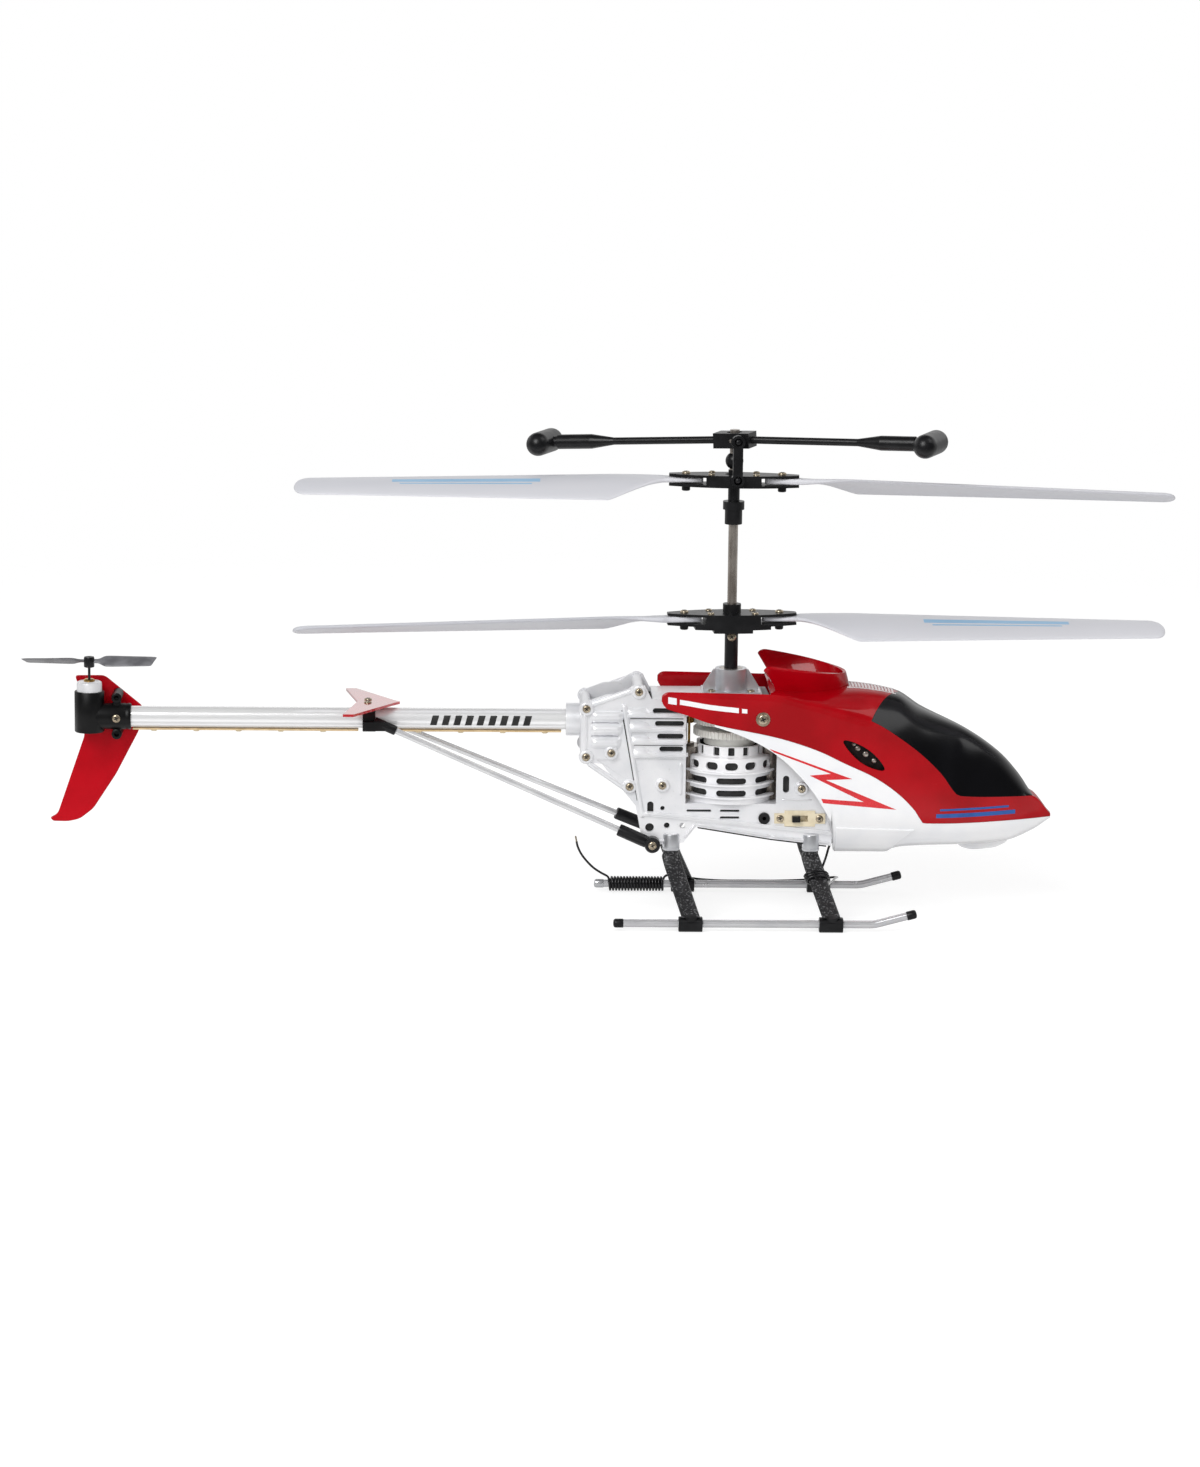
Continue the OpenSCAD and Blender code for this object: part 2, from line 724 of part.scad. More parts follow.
// Two grip plates with the hub between them and the holes for bolts and screws
module grip_body() {
    difference() {
        union() {
            for (z = [-grip_h / 2, grip_gap / 2])
                translate([0, 0, z]) linear_extrude(grip_t) grip_outline(grip_l);
            translate([0, 0, -grip_gap / 2]) linear_extrude(grip_gap) grip_outline(hub_l);
        }
        for (s = [-1, 1]) {
            translate([s * bolt_r, 0, -5]) cylinder(h = 10, d = bolt_d);
            for (y = [-hub_screw_y, hub_screw_y])
                translate([s * hub_screw_x, y, 0]) cylinder(h = 10, d = screw_d);
        }
    }
}

module lower_grip() {
    color(black) lower_head()
        difference() {
            union() {
                grip_body();
                translate([0, 0, -grip_h / 2 - 1.2]) linear_extrude(1.2) grip_outline(hub_l + 8);
                translate([0, 0, -grip_h / 2 - 2.4]) linear_extrude(1.2) grip_outline(hub_l - 6);
                cylinder(h = grip_h / 2 + 3.4, d = outer_d + 1.8);
            }
            translate([0, 0, -10]) cylinder(h = 10 + outer_top - lower_z, d = outer_d);
            cylinder(h = 10, d = inner_bore);
        }
}

// The upper hub is open round the sleeve and turns on the trunnion
module upper_grip() {
    color(black) upper_head()
        difference() {
            union() {
                grip_body();
                head_stud();
            }
            translate([0, 0, -5]) cylinder(h = 10, d = sleeve_d + 2.4);
            rod([-12, 0, 0], [12, 0, 0], pin_bore);
        }
}

// Ball stud for the pitch link, in the frame of the upper head
module head_stud() {
    along = link_r * cos(link_yaw - upper_yaw);
    ball = [along, -link_on_head, link_low_z - upper_z];
    rod([along, -grip_w / 2 + 1.5, ball[2]], ball, 1.2);
    translate(ball) sphere(d = ball_d);
}

module grip_bolts() {
    for (s = [-1, 1]) {
        translate([s * bolt_r, 0, -grip_h / 2 - 1.9]) {
            cylinder(h = grip_h + 1.9, d = bolt_d);
            cylinder(h = 1.9, d = bolt_d + 1);
        }
        translate([s * bolt_r, 0, grip_h / 2]) cylinder(h = 0.7, d = bolt_d + 0.8);
        for (y = [-hub_screw_y, hub_screw_y])
            translate([s * hub_screw_x, y, grip_h / 2])
                screw(screw_d, grip_h / 2, screw_d + 0.8, 0.6);
    }
}

module lower_grip_bolts() {
    color(steel) {
        lower_head() grip_bolts();
        at_mast()
            translate([0, -outer_d / 2 - 0.1, set_screw_z])
                rotate([90, 0, 0]) screw(screw_d, 0.6, 3.3, 0.7);
    }
}

module upper_grip_bolts() {
    color(steel) upper_head() grip_bolts();
}

// Flybar

module flybar_frame() {
    at_mast()
        translate([0, 0, flybar_z])
            rotate([0, 0, flybar_yaw])
                rotate([0, -flybar_tilt, 0]) children();
}

module flybar_arm() {
    rod_d = 2.8;
    arm_d = 5.6;
    rod([5, 0, 0], [flybar_r - 28, 0, 0], rod_d);
    translate([flybar_r - 28.3, 0, 0])
        rotate([0, 90, 0]) cylinder(h = 9.1, d1 = rod_d, d2 = arm_d);
    rod([flybar_r - 19.2, 0, 0], [flybar_r - 5.8, 0, 0], arm_d);
    rod([flybar_r - 6, 0, 0], [flybar_r, 0, 0], arm_d * 0.8);
    half = (weight_l - weight_d) / 2;
    rod([flybar_r, -half, 0], [flybar_r, half, 0], weight_d);
    for (s = [-1, 1])
        translate([flybar_r, s * half, 0]) sphere(d = weight_d);
}

module flybar() {
    block_l = 14.1;
    block_w = 2 * flybar_pin_r + 0.6;
    block_h = 5.7;
    arm_droop = 1;
    ball = [link_on_bar, link_r * sin(link_yaw - flybar_yaw), 0];
    color(black) flybar_frame()
        difference() {
            union() {
                cube([block_l, block_w, block_h], center = true);
                for (a = [0, 180])
                    rotate([0, 0, a]) rotate([0, arm_droop, 0]) flybar_arm();
                rod([ball[0], -block_w / 2 + 1, 0], ball, 1.2);
                translate(ball) sphere(d = ball_d);
            }
            translate([0, 0, -10]) cylinder(h = 20, d = inner_d + 2.2);
            rod([0, -10, 0], [0, 10, 0], pin_bore);
        }
}

// Dog-bone link between the flybar's ball and the upper head's ball
link_high = [link_r * cos(link_yaw), link_r * sin(link_yaw),
    flybar_z + link_on_bar * sin(flybar_tilt)];
link_low = [link_high[0], link_high[1],
    upper_z + (link_low_z - upper_z) * cos(head_tilt) + link_on_head * sin(head_tilt)];

module pitch_link() {
    link_t = 2.2;
    link_w = 3.6;
    color(black) at_mast()
        translate([link_low[0], link_low[1], link_low[2]])
            rotate([0, 0, link_yaw + 90])
                rotate([90, 0, 0])
                    translate([0, 0, -link_t / 2])
                        linear_extrude(link_t)
                            difference() {
                                union() {
                                    translate([-link_w / 2, 0])
                                        square([link_w, link_high[2] - link_low[2]]);
                                    circle(d = eye_d);
                                    translate([0, link_high[2] - link_low[2]]) circle(d = eye_d);
                                }
                                circle(d = eye_bore);
                                translate([0, link_high[2] - link_low[2]]) circle(d = eye_bore);
                            }
}

// Canopy: lines in side view, x and z, that part its red shell, white hull and windscreen

strip_x = -7;
canopy_deck_x = 14;
hull_x = 39.4;
glass_x = 52;
glass_end_x = nose_x - 7.6;
belt_line = [[-27, 89.5], [14.6, 89], [26.5, 86.3], [50.6, 79.3], [67.5, 68.9], [79.3, 58],
    [85.3, 50], [92, 47.3], [110, 46.8], [115.4, 47.4], [123, 39.4]];
top_line = [[-27, 89.7], [14, 89.3], [44.8, 88.9], [63, 86.3], [72.6, 80.5], [89.7, 72.2],
    [103, 63], [111, 54.2], [115.4, 47.7], [123, 39.7]];
red_line = [[-27, 83.4], [-17.6, 80.5], [-8.6, 77.4], [16.5, 72.2], [31.5, 67.5], [42.6, 62.3],
    [53.6, 57.1], [62.6, 50.9], [69.7, 43.7], [73, 38.9], [123, 38.5]];
strip_line = [[-7, 76.2], [0, 73.9], [10.5, 69.3], [18.7, 63.8], [26.2, 56.5], [32.3, 48.8],
    [38.4, 38.5]];
keel_line = [[59, 25.3], [66, 27], [105, 29], [116, 33], [123, 37.6]];
plan_line = [[40, 1], [73, 0.93], [90, 0.76], [110, 0.42], [119, 0.22], [123, 0.1]];
glass_rake = 12;
rake_line = [[30, 0], [52, 1], [75, 0.5], [100, 0]];
vent_outline = [[41, 71.2], [46.5, 70], [52.5, 66.6], [56.6, 61.9], [57.4, 60],
    [54.6, 60.3], [49.4, 62.3], [44.5, 66.6]];

function belt(x) = lookup(x, belt_line);
function keel(x) = lookup(x, keel_line);
function red_edge(x) = lookup(x, red_line);
function half_w(x) = canopy_hw * lookup(x, plan_line);
function fullness(s) = pow(1 - pow(1 - s, 4), 1 / 3);
function side_y(x, z) = half_w(x) * fullness((z - keel(x)) / (belt(x) - keel(x)));
function deck_top(x, y) =
    lerp(belt(x), lookup(x, top_line), 1 - pow(abs(y) / half_w(x), 2.2));

canopy_xs = concat(span(arm_x, strip_x, 3), span(strip_x, canopy_deck_x, 3),
    span(canopy_deck_x, hull_x - 1, 4), [hull_x - 1], span(hull_x, glass_x, 2),
    span(glass_x, glass_end_x, 8), span(glass_end_x, nose_x, 2), [nose_x]);
side_rows = 3;
top_rows = 4;
row_n = side_rows + top_rows;

// Point of the red and glass surface on its right half; row 0 is the red edge, the last the middle
function skin_point(x, row, inset) =
    row <= side_rows
        ? let (z = lerp(red_edge(x), belt(x), row / side_rows)) [x, -side_y(x, z) + inset, z]
        : let (t = (row - side_rows) / top_rows,
            x1 = x + glass_rake * lookup(x, rake_line) * t,
            z = lerp(belt(x), lookup(x1, top_line), 1 - pow(1 - t, 2.2)))
        [x1, -(half_w(x) - inset) * (1 - t), z - inset * min(1, 2.5 * t)];

// The whole skin from the right edge over the top to the left edge
function skin_grid(xs, inset) = [for (x = xs) concat(
    [for (row = [0 : row_n]) skin_point(x, row, inset)],
    [for (row = [row_n - 1 : -1 : 0])
        let (p = skin_point(x, row, inset)) [p[0], -p[1], p[2]]])];

module skin(keep_cell) {
    cells = [for (i = [0 : len(canopy_xs) - 2]) [for (j = [0 : 2 * row_n - 1])
        keep_cell(canopy_xs[i], j >= side_rows && j < 2 * row_n - side_rows)]];
    thick_sheet(skin_grid(canopy_xs, 0), skin_grid(canopy_xs, canopy_wall), cells);
}

function is_glass(x) = x > glass_x - 0.01 && x < glass_end_x - 0.01;

module canopy_shell() {
    color(red) at_mast()
        difference() {
            skin(function(x, on_top) !on_top || (x > canopy_deck_x - 0.01 && !is_glass(x)));
            side_slab(-40, 40) polygon(vent_outline);
            cross_pin(canopy_screw_at, -40, 40, screw_d + 2 * run_clear);
        }
}

module windscreen() {
    color([0.05, 0.05, 0.06]) at_mast()
        skin(function(x, on_top) on_top && is_glass(x));
}

hull_rows = 5;
keel_share = 0.02;
hull_xs = [for (x = canopy_xs) if (x > strip_x - 0.01) x];

// Point of the white hull on its right half; row 0 is the keel or the strip's lower edge
function hull_point(x, row, inset) =
    let (deep = belt(x) - keel(x),
        high = (red_edge(x) - seam - keel(x)) / deep,
        low = x < hull_x - 0.01 ? (lookup(x, strip_line) - keel(x)) / deep : keel_share,
        s = lerp(low, high, pow(row / hull_rows, 1.6)),
        lift = x < hull_x - 0.01 ? 0 : inset * (1 - row / hull_rows))
    [x, -half_w(x) * fullness(s) + inset, keel(x) + s * deep + lift];

function hull_grid(inset) = [for (x = hull_xs) concat(
    [for (row = [hull_rows : -1 : 0])
        let (p = hull_point(x, row, inset)) [p[0], -p[1], p[2]]],
    [for (row = [0 : hull_rows]) hull_point(x, row, inset)])];

module canopy_hull() {
    cells = [for (i = [0 : len(hull_xs) - 2]) [for (j = [0 : 2 * hull_rows])
        j != hull_rows || hull_xs[i] > hull_x - 0.01]];
    color(white) at_mast()
        thick_sheet(hull_grid(0), hull_grid(canopy_wall), cells);
}

// Scoop: a flared horseshoe round the front of the mast, open to the rear
scoop_steps = 14;
scoop_rows = 3;

function scoop_point(a, v, inset) =
    let (foot_x = canopy_deck_x + 2 + 20 * cos(a),
        foot_y = 15 * sin(a),
        rim_x = canopy_deck_x - 2 + 31.7 * cos(a),
        rim_y = 20 * sin(a),
        flare = pow(v, 1.3),
        x = lerp(foot_x, rim_x, flare),
        y = lerp(foot_y, rim_y, flare),
        z = lerp(deck_top(foot_x, foot_y) + 0.3, scoop_z - 4.4 * cos(a), v))
    [x - inset * cos(a), y - inset * sin(a), z];

function scoop_grid(inset) = [for (k = [0 : scoop_steps])
    [for (v = [0 : scoop_rows]) scoop_point(-90 + 180 * k / scoop_steps, v / scoop_rows, inset)]];

module intake_scoop() {
    cells = [for (k = [1 : scoop_steps]) [for (v = [1 : scoop_rows]) true]];
    color(red) at_mast()
        thick_sheet(scoop_grid(0), scoop_grid(canopy_wall), cells);
}

// Screws of the canopy with their washers, of the stabiliser and of the switch
module trim_screws() {
    skin_at = side_y(canopy_screw_at[0], canopy_screw_at[1]);
    color(steel) at_mast() {
        for (s = [-1, 1]) {
            translate([canopy_screw_at[0], s * (skin_at + 0.1), canopy_screw_at[1]])
                rotate([-90 * s, 0, 0]) {
                    cylinder(h = 0.5, d = 6.4);
                    screw(screw_d, 6, 4.6, 1.5);
                }
            translate([stab_screw_x, s * 3, stab_z + stab_t])
                screw(screw_d, stab_t + 1.5, screw_head_d, screw_head_h);
            translate([switch_at[0] + s * switch_pitch / 2, -plate_out - switch_plate_t, switch_at[1]])
                rotate([90, 0, 0]) screw(screw_d, switch_plate_t + plate_t, screw_head_d, 0.6);
        }
    }
}

module nose_light() {
    light_l = 9;
    light_x = nose_x - 27;
    color([0.85, 0.86, 0.88]) at_mast()
        translate([light_x, 0, keel(light_x) - 0.1])
            mirror([0, 0, 1])
                difference() {
                    intersection() {
                        translate([0, -3.5, 0]) cube([light_l, 7, 2.8]);
                        rod([0, 0, -2], [light_l, 0, -2], 9.4);
                    }
                    rod([light_l - 2, 0, 1.2], [light_l + 1, 0, 1.2], 1.8);
                }
}

battery_l = 38;
battery_w = 18;
battery_h = 12;

module battery() {
    color([0.18, 0.24, 0.42]) at_mast()
        translate([motor_x + motor_d / 2 + 3, -battery_w / 2, floor_z])
            cube([battery_l, battery_w, battery_h]);
}

module circuit_board() {
    board_x = motor_x + motor_d / 2 + 5;
    color([0.08, 0.3, 0.16]) at_mast()
        translate([board_x, -11, floor_z + battery_h]) {
            cube([battery_l - 4, 22, 1.4]);
            for (c = [[4, 4, 7, 7, 2], [14, 3, 5, 9, 3], [23, 5, 8, 5, 2.4], [22, 13, 6, 6, 4]])
                translate([c[0], c[1], 1.4]) cube([c[2], c[3], c[4]]);
        }
}

// Slide switch on the right side plate
switch_pitch = 14.9;
switch_box_l = 11;
switch_box_h = 5.6;
switch_plate_t = 0.8;
slider_w = 3;
slider_h = 2.2;
slider_travel = 2.8;
slider_play = 0.1;

module switch_body() {
    window_l = slider_w + slider_travel + 2 * slider_play;
    color(cream) at_mast()
        difference() {
            union() {
                side_slab(-plate_out - switch_plate_t, -plate_out)
                    translate(switch_at) {
                        square([switch_pitch + 4.4, 3.8], center = true);
                        square([switch_box_l + 0.6, 6], center = true);
                    }
                side_slab(-plate_out, -plate_in + 3)
                    translate(switch_at) square([switch_box_l, switch_box_h], center = true);
            }
            side_slab(-plate_out - 2, -plate_out + 2)
                translate(switch_at) square([window_l, slider_h + 2 * slider_play], center = true);
            for (s = [-1, 1])
                cross_pin(switch_at + [s * switch_pitch / 2, 0], -plate_out - 2, -plate_in, screw_d);
        }
}

module switch_slider() {
    color(black) at_mast()
        side_slab(-plate_out - switch_plate_t - 1.8, -plate_out + 2 - slider_play)
            translate(switch_at + [-slider_travel / 2, 0]) square([slider_w, slider_h], center = true);
}

module charge_jack() {
    color(black) at_mast()
        difference() {
            cross_pin(jack_at, -plate_out - 1, -plate_in + 4, jack_d);
            cross_pin(jack_at, -plate_out - 2, -plate_out + 4, 1.5);
        }
}

// Tail

clamp_x = -139.5;
clamp_l = 4.8;
stab_z = boom_z + boom_d / 2 + 1.4;
stab_t = 1;
stab_screw_x = clamp_x + 1.9;
lug_w = 3.4;
strip_gap = 1.5;
holder_d = tail_motor_d + 1.7;
holder_low = boom_z - 4.3;
holder_high = boom_z + 11.5;
tail_motor_top = holder_high + 3.5;
fin_y = 8;
fin_t = 1.2;
fin_post_x = 10.4;
fin_post_zs = [boom_z - 6.5, boom_z + 7.5];
lug_half = 2;

module boom_collar() {
    color(silver) at_mast()
        difference() {
            rod([plate_rear - 5.4, 0, boom_z], [plate_rear, 0, boom_z], boom_d + 4.5);
            rod([plate_rear - 9, 0, boom_z], [plate_rear + 9, 0, boom_z], boom_d);
        }
}

module tail_boom() {
    color(silver) at_mast()
        difference() {
            rod([boom_rear, 0, boom_z], [boom_front, 0, boom_z], boom_d);
            rod([boom_rear - 1, 0, boom_z], [boom_front + 1, 0, boom_z], boom_d - 1.2);
        }
}

// Light strip under the boom, in two lengths parted by the clamp, with a small lamp at each step
module led_strip() {
    lamp_step = 16;
    rear = -tail_arm + 21;
    front = plate_rear - 7;
    color(tan_board) at_mast()
        translate([0, 0, boom_z - boom_d / 2 - 1])
            for (run = [[rear, clamp_x - strip_gap], [clamp_x + clamp_l + 8, front]]) {
                translate([run[0], -1.5, 0]) cube([run[1] - run[0], 3, 1]);
                for (x = [run[0] + 6 : lamp_step : run[1] - 4])
                    translate([x, -0.8, -0.6]) cube([2, 1.6, 0.7]);
            }
}

// Clamp on the boom: it carries the stabiliser and the upper ends of the struts
module boom_clamp() {
    color(black) at_mast()
        difference() {
            union() {
                rod([clamp_x, 0, boom_z], [clamp_x + clamp_l, 0, boom_z], boom_d + 2.6);
                translate([clamp_x, -4.5, boom_z]) cube([clamp_l, 9, stab_z - boom_z]);
                for (s = [-1, 1])
                    translate([clamp_x, s * strut_high[1] - lug_w / 2, strut_high[2] - lug_w / 2])
                        cube([strut_high[0] - clamp_x, lug_w, lug_w]);
            }
            rod([clamp_x - 1, 0, boom_z], [strut_high[0] + 1, 0, boom_z], boom_d);
            for (s = [-1, 1])
                translate([stab_screw_x, 3 * s, stab_z - 1.5]) cylinder(h = 5, d = screw_d);
        }
}

module stabiliser() {
    color(red) at_mast()
        translate([0, 0, stab_z])
            linear_extrude(stab_t)
                difference() {
                    polygon([[-125.5, 0], [-128, -3.4], [-142.5, -stab_hw], [-146.5, -stab_hw],
                        [-141.5, 0], [-146.5, stab_hw], [-142.5, stab_hw], [-128, 3.4]]);
                    for (s = [-1, 1])
                        translate([stab_screw_x, 3 * s]) circle(d = screw_d);
                }
}

// Struts from the boom clamp down to the rear of the frame
function strut_point(s, at) =
    let (a = [strut_high[0], s * strut_high[1], strut_high[2]],
        b = [strut_low[0], s * strut_low[1], strut_low[2]],
        l = norm(b - a))
    a + (b - a) * (at < 0 ? l + at : at) / l;
strut_clear = 1;
eye_od = 5.7;

module support_struts() {
    color(silver) at_mast()
        for (s = [-1, 1])
            rod(strut_point(s, strut_clear), strut_point(s, -4), strut_d);
}

module strut_ends() {
    color(black) at_mast()
        for (s = [-1, 1])
            difference() {
                union() {
                    rod(strut_point(s, -14), strut_point(s, -1), strut_d + 1.8);
                    cross_pin([strut_low[0], strut_low[2]], s * strut_low[1] - eye_w / 2,
                        s * strut_low[1] + eye_w / 2, eye_od);
                }
                rod(strut_point(s, -20), strut_point(s, -4), strut_d);
                cross_pin([strut_low[0], strut_low[2]], s * strut_low[1] - 4,
                    s * strut_low[1] + 4, screw_d);
            }
    color(black) at_mast()
        for (s = [-1, 1])
            difference() {
                rod(strut_point(s, strut_clear), strut_point(s, strut_clear + 8), strut_d + 1.3);
                rod(strut_point(s, strut_clear - 1), strut_point(s, strut_clear + 9), strut_d);
            }
}

module at_tail() {
    at_mast() translate([-tail_arm, 0, 0]) children();
}

module tail_motor_holder() {
    socket_l = 11;
    lug_l = 6.5;
    color(black) at_tail()
        difference() {
            union() {
                translate([0, 0, holder_low]) cylinder(h = holder_high - holder_low, d = holder_d);
                rod([0, 0, boom_z], [tail_motor_d / 2 + socket_l, 0, boom_z], boom_d + 2);
                translate([fin_post_x - lug_l / 2, -lug_half, fin_post_zs[0] - 2.8])
                    cube([lug_l, 2 * lug_half, fin_post_zs[1] - fin_post_zs[0] + 5.6]);
            }
            translate([0, 0, holder_low - 1]) cylinder(h = 40, d = tail_motor_d);
            rod([0, 0, boom_z], [40, 0, boom_z], boom_d);
            for (z = fin_post_zs)
                cross_pin([fin_post_x, z], -lug_half - 1, lug_half + 1, screw_d);
        }
}

module tail_motor() {
    color(steel) at_tail()
        difference() {
            union() {
                translate([0, 0, holder_low + 0.8])
                    cylinder(h = tail_motor_top - holder_low - 0.8, d = tail_motor_d);
                translate([0, 0, tail_motor_top]) cylinder(h = 1.4, d = 3.6);
            }
            translate([0, 0, tail_motor_top - 5])
                cylinder(h = 9, d = motor_shaft_d + 2 * run_clear);
            translate([0, 0, holder_low])
                cylinder(h = tail_motor_top - holder_low - 1.2, d = tail_motor_d - 1.6);
        }
}

module tail_propeller() {
    hub_d = 4;
    chord = 6;
    prop_pitch = 30;
    prop_t = 0.8;
    color(black) at_tail() {
        translate([0, 0, tail_motor_top - 4.6])
            cylinder(h = tail_prop_z + 1.8 - tail_motor_top + 4.6, d = motor_shaft_d);
        translate([0, 0, tail_prop_z - 2.6]) cylinder(h = 4.2, d = hub_d);
        for (a = [0, 180])
            rotate([0, 0, a])
                translate([0, 0, tail_prop_z])
                    rotate([prop_pitch, 0, 0])
                        translate([0, 0, -prop_t / 2])
                            linear_extrude(prop_t) {
                                polygon([[1, -1], [7, -chord / 2], [tail_prop_r - 2.4, -chord * 0.45],
                                    [tail_prop_r - 2.4, chord * 0.35], [7, chord / 2], [1, 1]]);
                                translate([tail_prop_r - 2.4, -chord * 0.05]) circle(r = chord * 0.4);
                            }
    }
}

module tail_fin() {
    color(red) at_tail()
        difference() {
            side_slab(fin_y, fin_y + fin_t)
                polygon([[-6.1, 89.3], [5.2, 89.4], [19.7, 77.4], [17.9, 68.2], [8.1, 51.2],
                    [-2.1, 36.3], [-7.2, 32.7], [-14.8, 32.8], [-15.9, 34.1], [-13, 35.6],
                    [-2.5, 66.3], [-5, 86.3]]);
            for (z = fin_post_zs)
                cross_pin([fin_post_x, z], fin_y - 1, fin_y + fin_t + 1, screw_d);
        }
}

// Standoffs between the tail holder and the fin, with the screws that run through them
module fin_posts() {
    color(black) at_tail()
        for (z = fin_post_zs) {
            cross_pin([fin_post_x, z], lug_half, fin_y, 4);
            cross_pin([fin_post_x, z], -lug_half - 1, fin_y + fin_t + 0.8, screw_d);
            cross_pin([fin_post_x, z], -lug_half - 1, -lug_half, 3.4);
            cross_pin([fin_post_x, z], fin_y + fin_t, fin_y + fin_t + 0.8, 3.4);
        }
}

// Landing gear

clamp_h = 5.6;
clamp_len = 9;
clamp_w = 5.7;
leg_t = 4.4;
leg_head = 1.6;
leg_block = 1.2;
bend_x = 52;
bend_r = 14;
bend_deg = 15;
bend_groove = 0.05;
skid_core_d = skid_d * 0.8;
tip_l = 13.5;
cap_l = 4.5;
cap_d = skid_d + 0.8;
skid_rear = [-43.5, -49];

function clamp_at(x, s) = [x + leg_rake, s * track_hw, clamp_h];

// Middle of the place under the socket where a leg turns outwards, and of its foot
function knee_at(x, s) = [x + 0.6, s * (socket_y + 1.4), socket_z - leg_head - 3.6];
function foot_at(x, s) = clamp_at(x, s) + [0, 0, leg_block / 2];

module leg_end(at) {
    translate(at) cube([leg_w, leg_t, leg_block], center = true);
}

module leg(x, s) {
    color(black) at_mast() {
        translate([x, s * socket_y, socket_z - leg_head]) {
            cylinder(h = leg_head, d = socket_d);
            cylinder(h = leg_head + peg_l, d = screw_d);
        }
        hull() {
            leg_end([x, s * socket_y, socket_z - leg_head - 0.4]);
            leg_end(knee_at(x, s));
        }
        hull() {
            leg_end(knee_at(x, s));
            leg_end(foot_at(x, s));
        }
    }
}

module leg_front_right() {
    leg(socket_xs[1], -1);
}

module leg_rear_right() {
    leg(socket_xs[0], -1);
}

module leg_front_left() {
    leg(socket_xs[1], 1);
}

module leg_rear_left() {
    leg(socket_xs[0], 1);
}

// Moves from the skid's straight run to the start of its raised tip
module at_tip() {
    translate([bend_x + bend_r * sin(bend_deg), 0, skid_z + bend_r * (1 - cos(bend_deg))])
        rotate([0, 90 - bend_deg, 0]) children();
}

// Skid tube in three runs that share a core, with a hairline groove between them
module skid(s, rear) {
    color(silver) at_mast()
        translate([0, s * track_hw, 0]) {
            rod([rear, 0, skid_z], [bend_x - bend_groove, 0, skid_z], skid_d);
            rod([bend_x - 1, 0, skid_z], [bend_x + 0.5, 0, skid_z], skid_core_d);
            translate([bend_x, 0, skid_z + bend_r])
                rotate([90, 0, 0])
                    rotate([0, 0, -90])
                        rotate_extrude(angle = bend_deg)
                            translate([bend_r, 0]) circle(d = skid_d);
            at_tip() {
                translate([0, 0, bend_groove]) cylinder(h = tip_l - bend_groove, d = skid_d);
                translate([0, 0, -0.5]) cylinder(h = 1.5, d = skid_core_d);
            }
        }
}

module skid_right() {
    skid(-1, skid_rear[0]);
}

module skid_left() {
    skid(1, skid_rear[1]);
}

module skid_clamps() {
    color(black) at_mast()
        for (s = [-1, 1])
            for (x = socket_xs)
                difference() {
                    translate(clamp_at(x, s) - [clamp_len / 2, clamp_w / 2, clamp_h])
                        cube([clamp_len, clamp_w, clamp_h]);
                    rod([x - 20, s * track_hw, skid_z], [x + 30, s * track_hw, skid_z], skid_d);
                }
}

module skid_cap() {
    difference() {
        translate([0, 0, -cap_l + 1.2]) cylinder(h = cap_l, d = cap_d);
        translate([0, 0, -cap_l]) cylinder(h = cap_l, d = skid_d);
    }
}

module skid_caps() {
    color(black) at_mast()
        for (k = [0, 1]) {
            translate([0, (2 * k - 1) * track_hw, 0]) at_tip() translate([0, 0, tip_l]) skid_cap();
            translate([skid_rear[k], (2 * k - 1) * track_hw, skid_z])
                rotate([0, -90, 0]) skid_cap();
        }
}

// Antenna wire: a lead from the hull, a winding on the left skid and a free tail

wound_r = skid_d / 2 + 0.65 + wound_d / 2;
wound_front = -23;
wound_rear = wound_front - wound_pitch * (wound_turns + 0.5);
loop_rings = 24;
wound_n = loop_rings * wound_turns + loop_rings / 2;
function wound_at(k) =
    let (a = -360 * k / loop_rings)
    [wound_front - wound_pitch * k / loop_rings,
        track_hw + wound_r * cos(a), skid_z + wound_r * sin(a)];
wound_path = concat(
    [wound_at(0) + [0, 0, wound_d]],
    [for (k = [0 : wound_n]) wound_at(k)],
    [wound_at(wound_n) + [0, 0, wound_d]]);

// Least gap of a tube to itself, from point to point of turns that lie beside each other
function own_gap(path, turn, d) = min([for (i = [0 : len(path) - 1])
    for (j = [i + turn - 4 : min(len(path) - 1, i + turn + 4)]) norm(path[i] - path[j])]) - d;
echo(winding_gap = own_gap(wound_path, loop_rings, wound_d));

// Nearly two loops round the right front leg, begun behind it
leg_knee = knee_at(socket_xs[1], -1);
leg_run = foot_at(socket_xs[1], -1) - leg_knee;
leg_loop_at = leg_knee + leg_run * 0.19;
leg_loop_r = 4.9;
leg_loop_pitch = 1.8;
leg_loop_rings = 16;
leg_loop_from = 250;
leg_loop_n = 29;
leg_dir = leg_run / norm(leg_run);
leg_side = cross(leg_dir, [0, 0, 1]) / norm(cross(leg_dir, [0, 0, 1]));
leg_face = cross(leg_side, leg_dir);
leg_loops = [for (k = [0 : leg_loop_n])
    let (a = leg_loop_from + 360 * k / leg_loop_rings)
    leg_loop_at + leg_dir * leg_loop_pitch * (k / leg_loop_rings - 0.9)
        + leg_loop_r * (leg_side * cos(a) + leg_face * sin(a))];
echo(leg_loop_gap = own_gap(leg_loops, leg_loop_rings, wire_d));

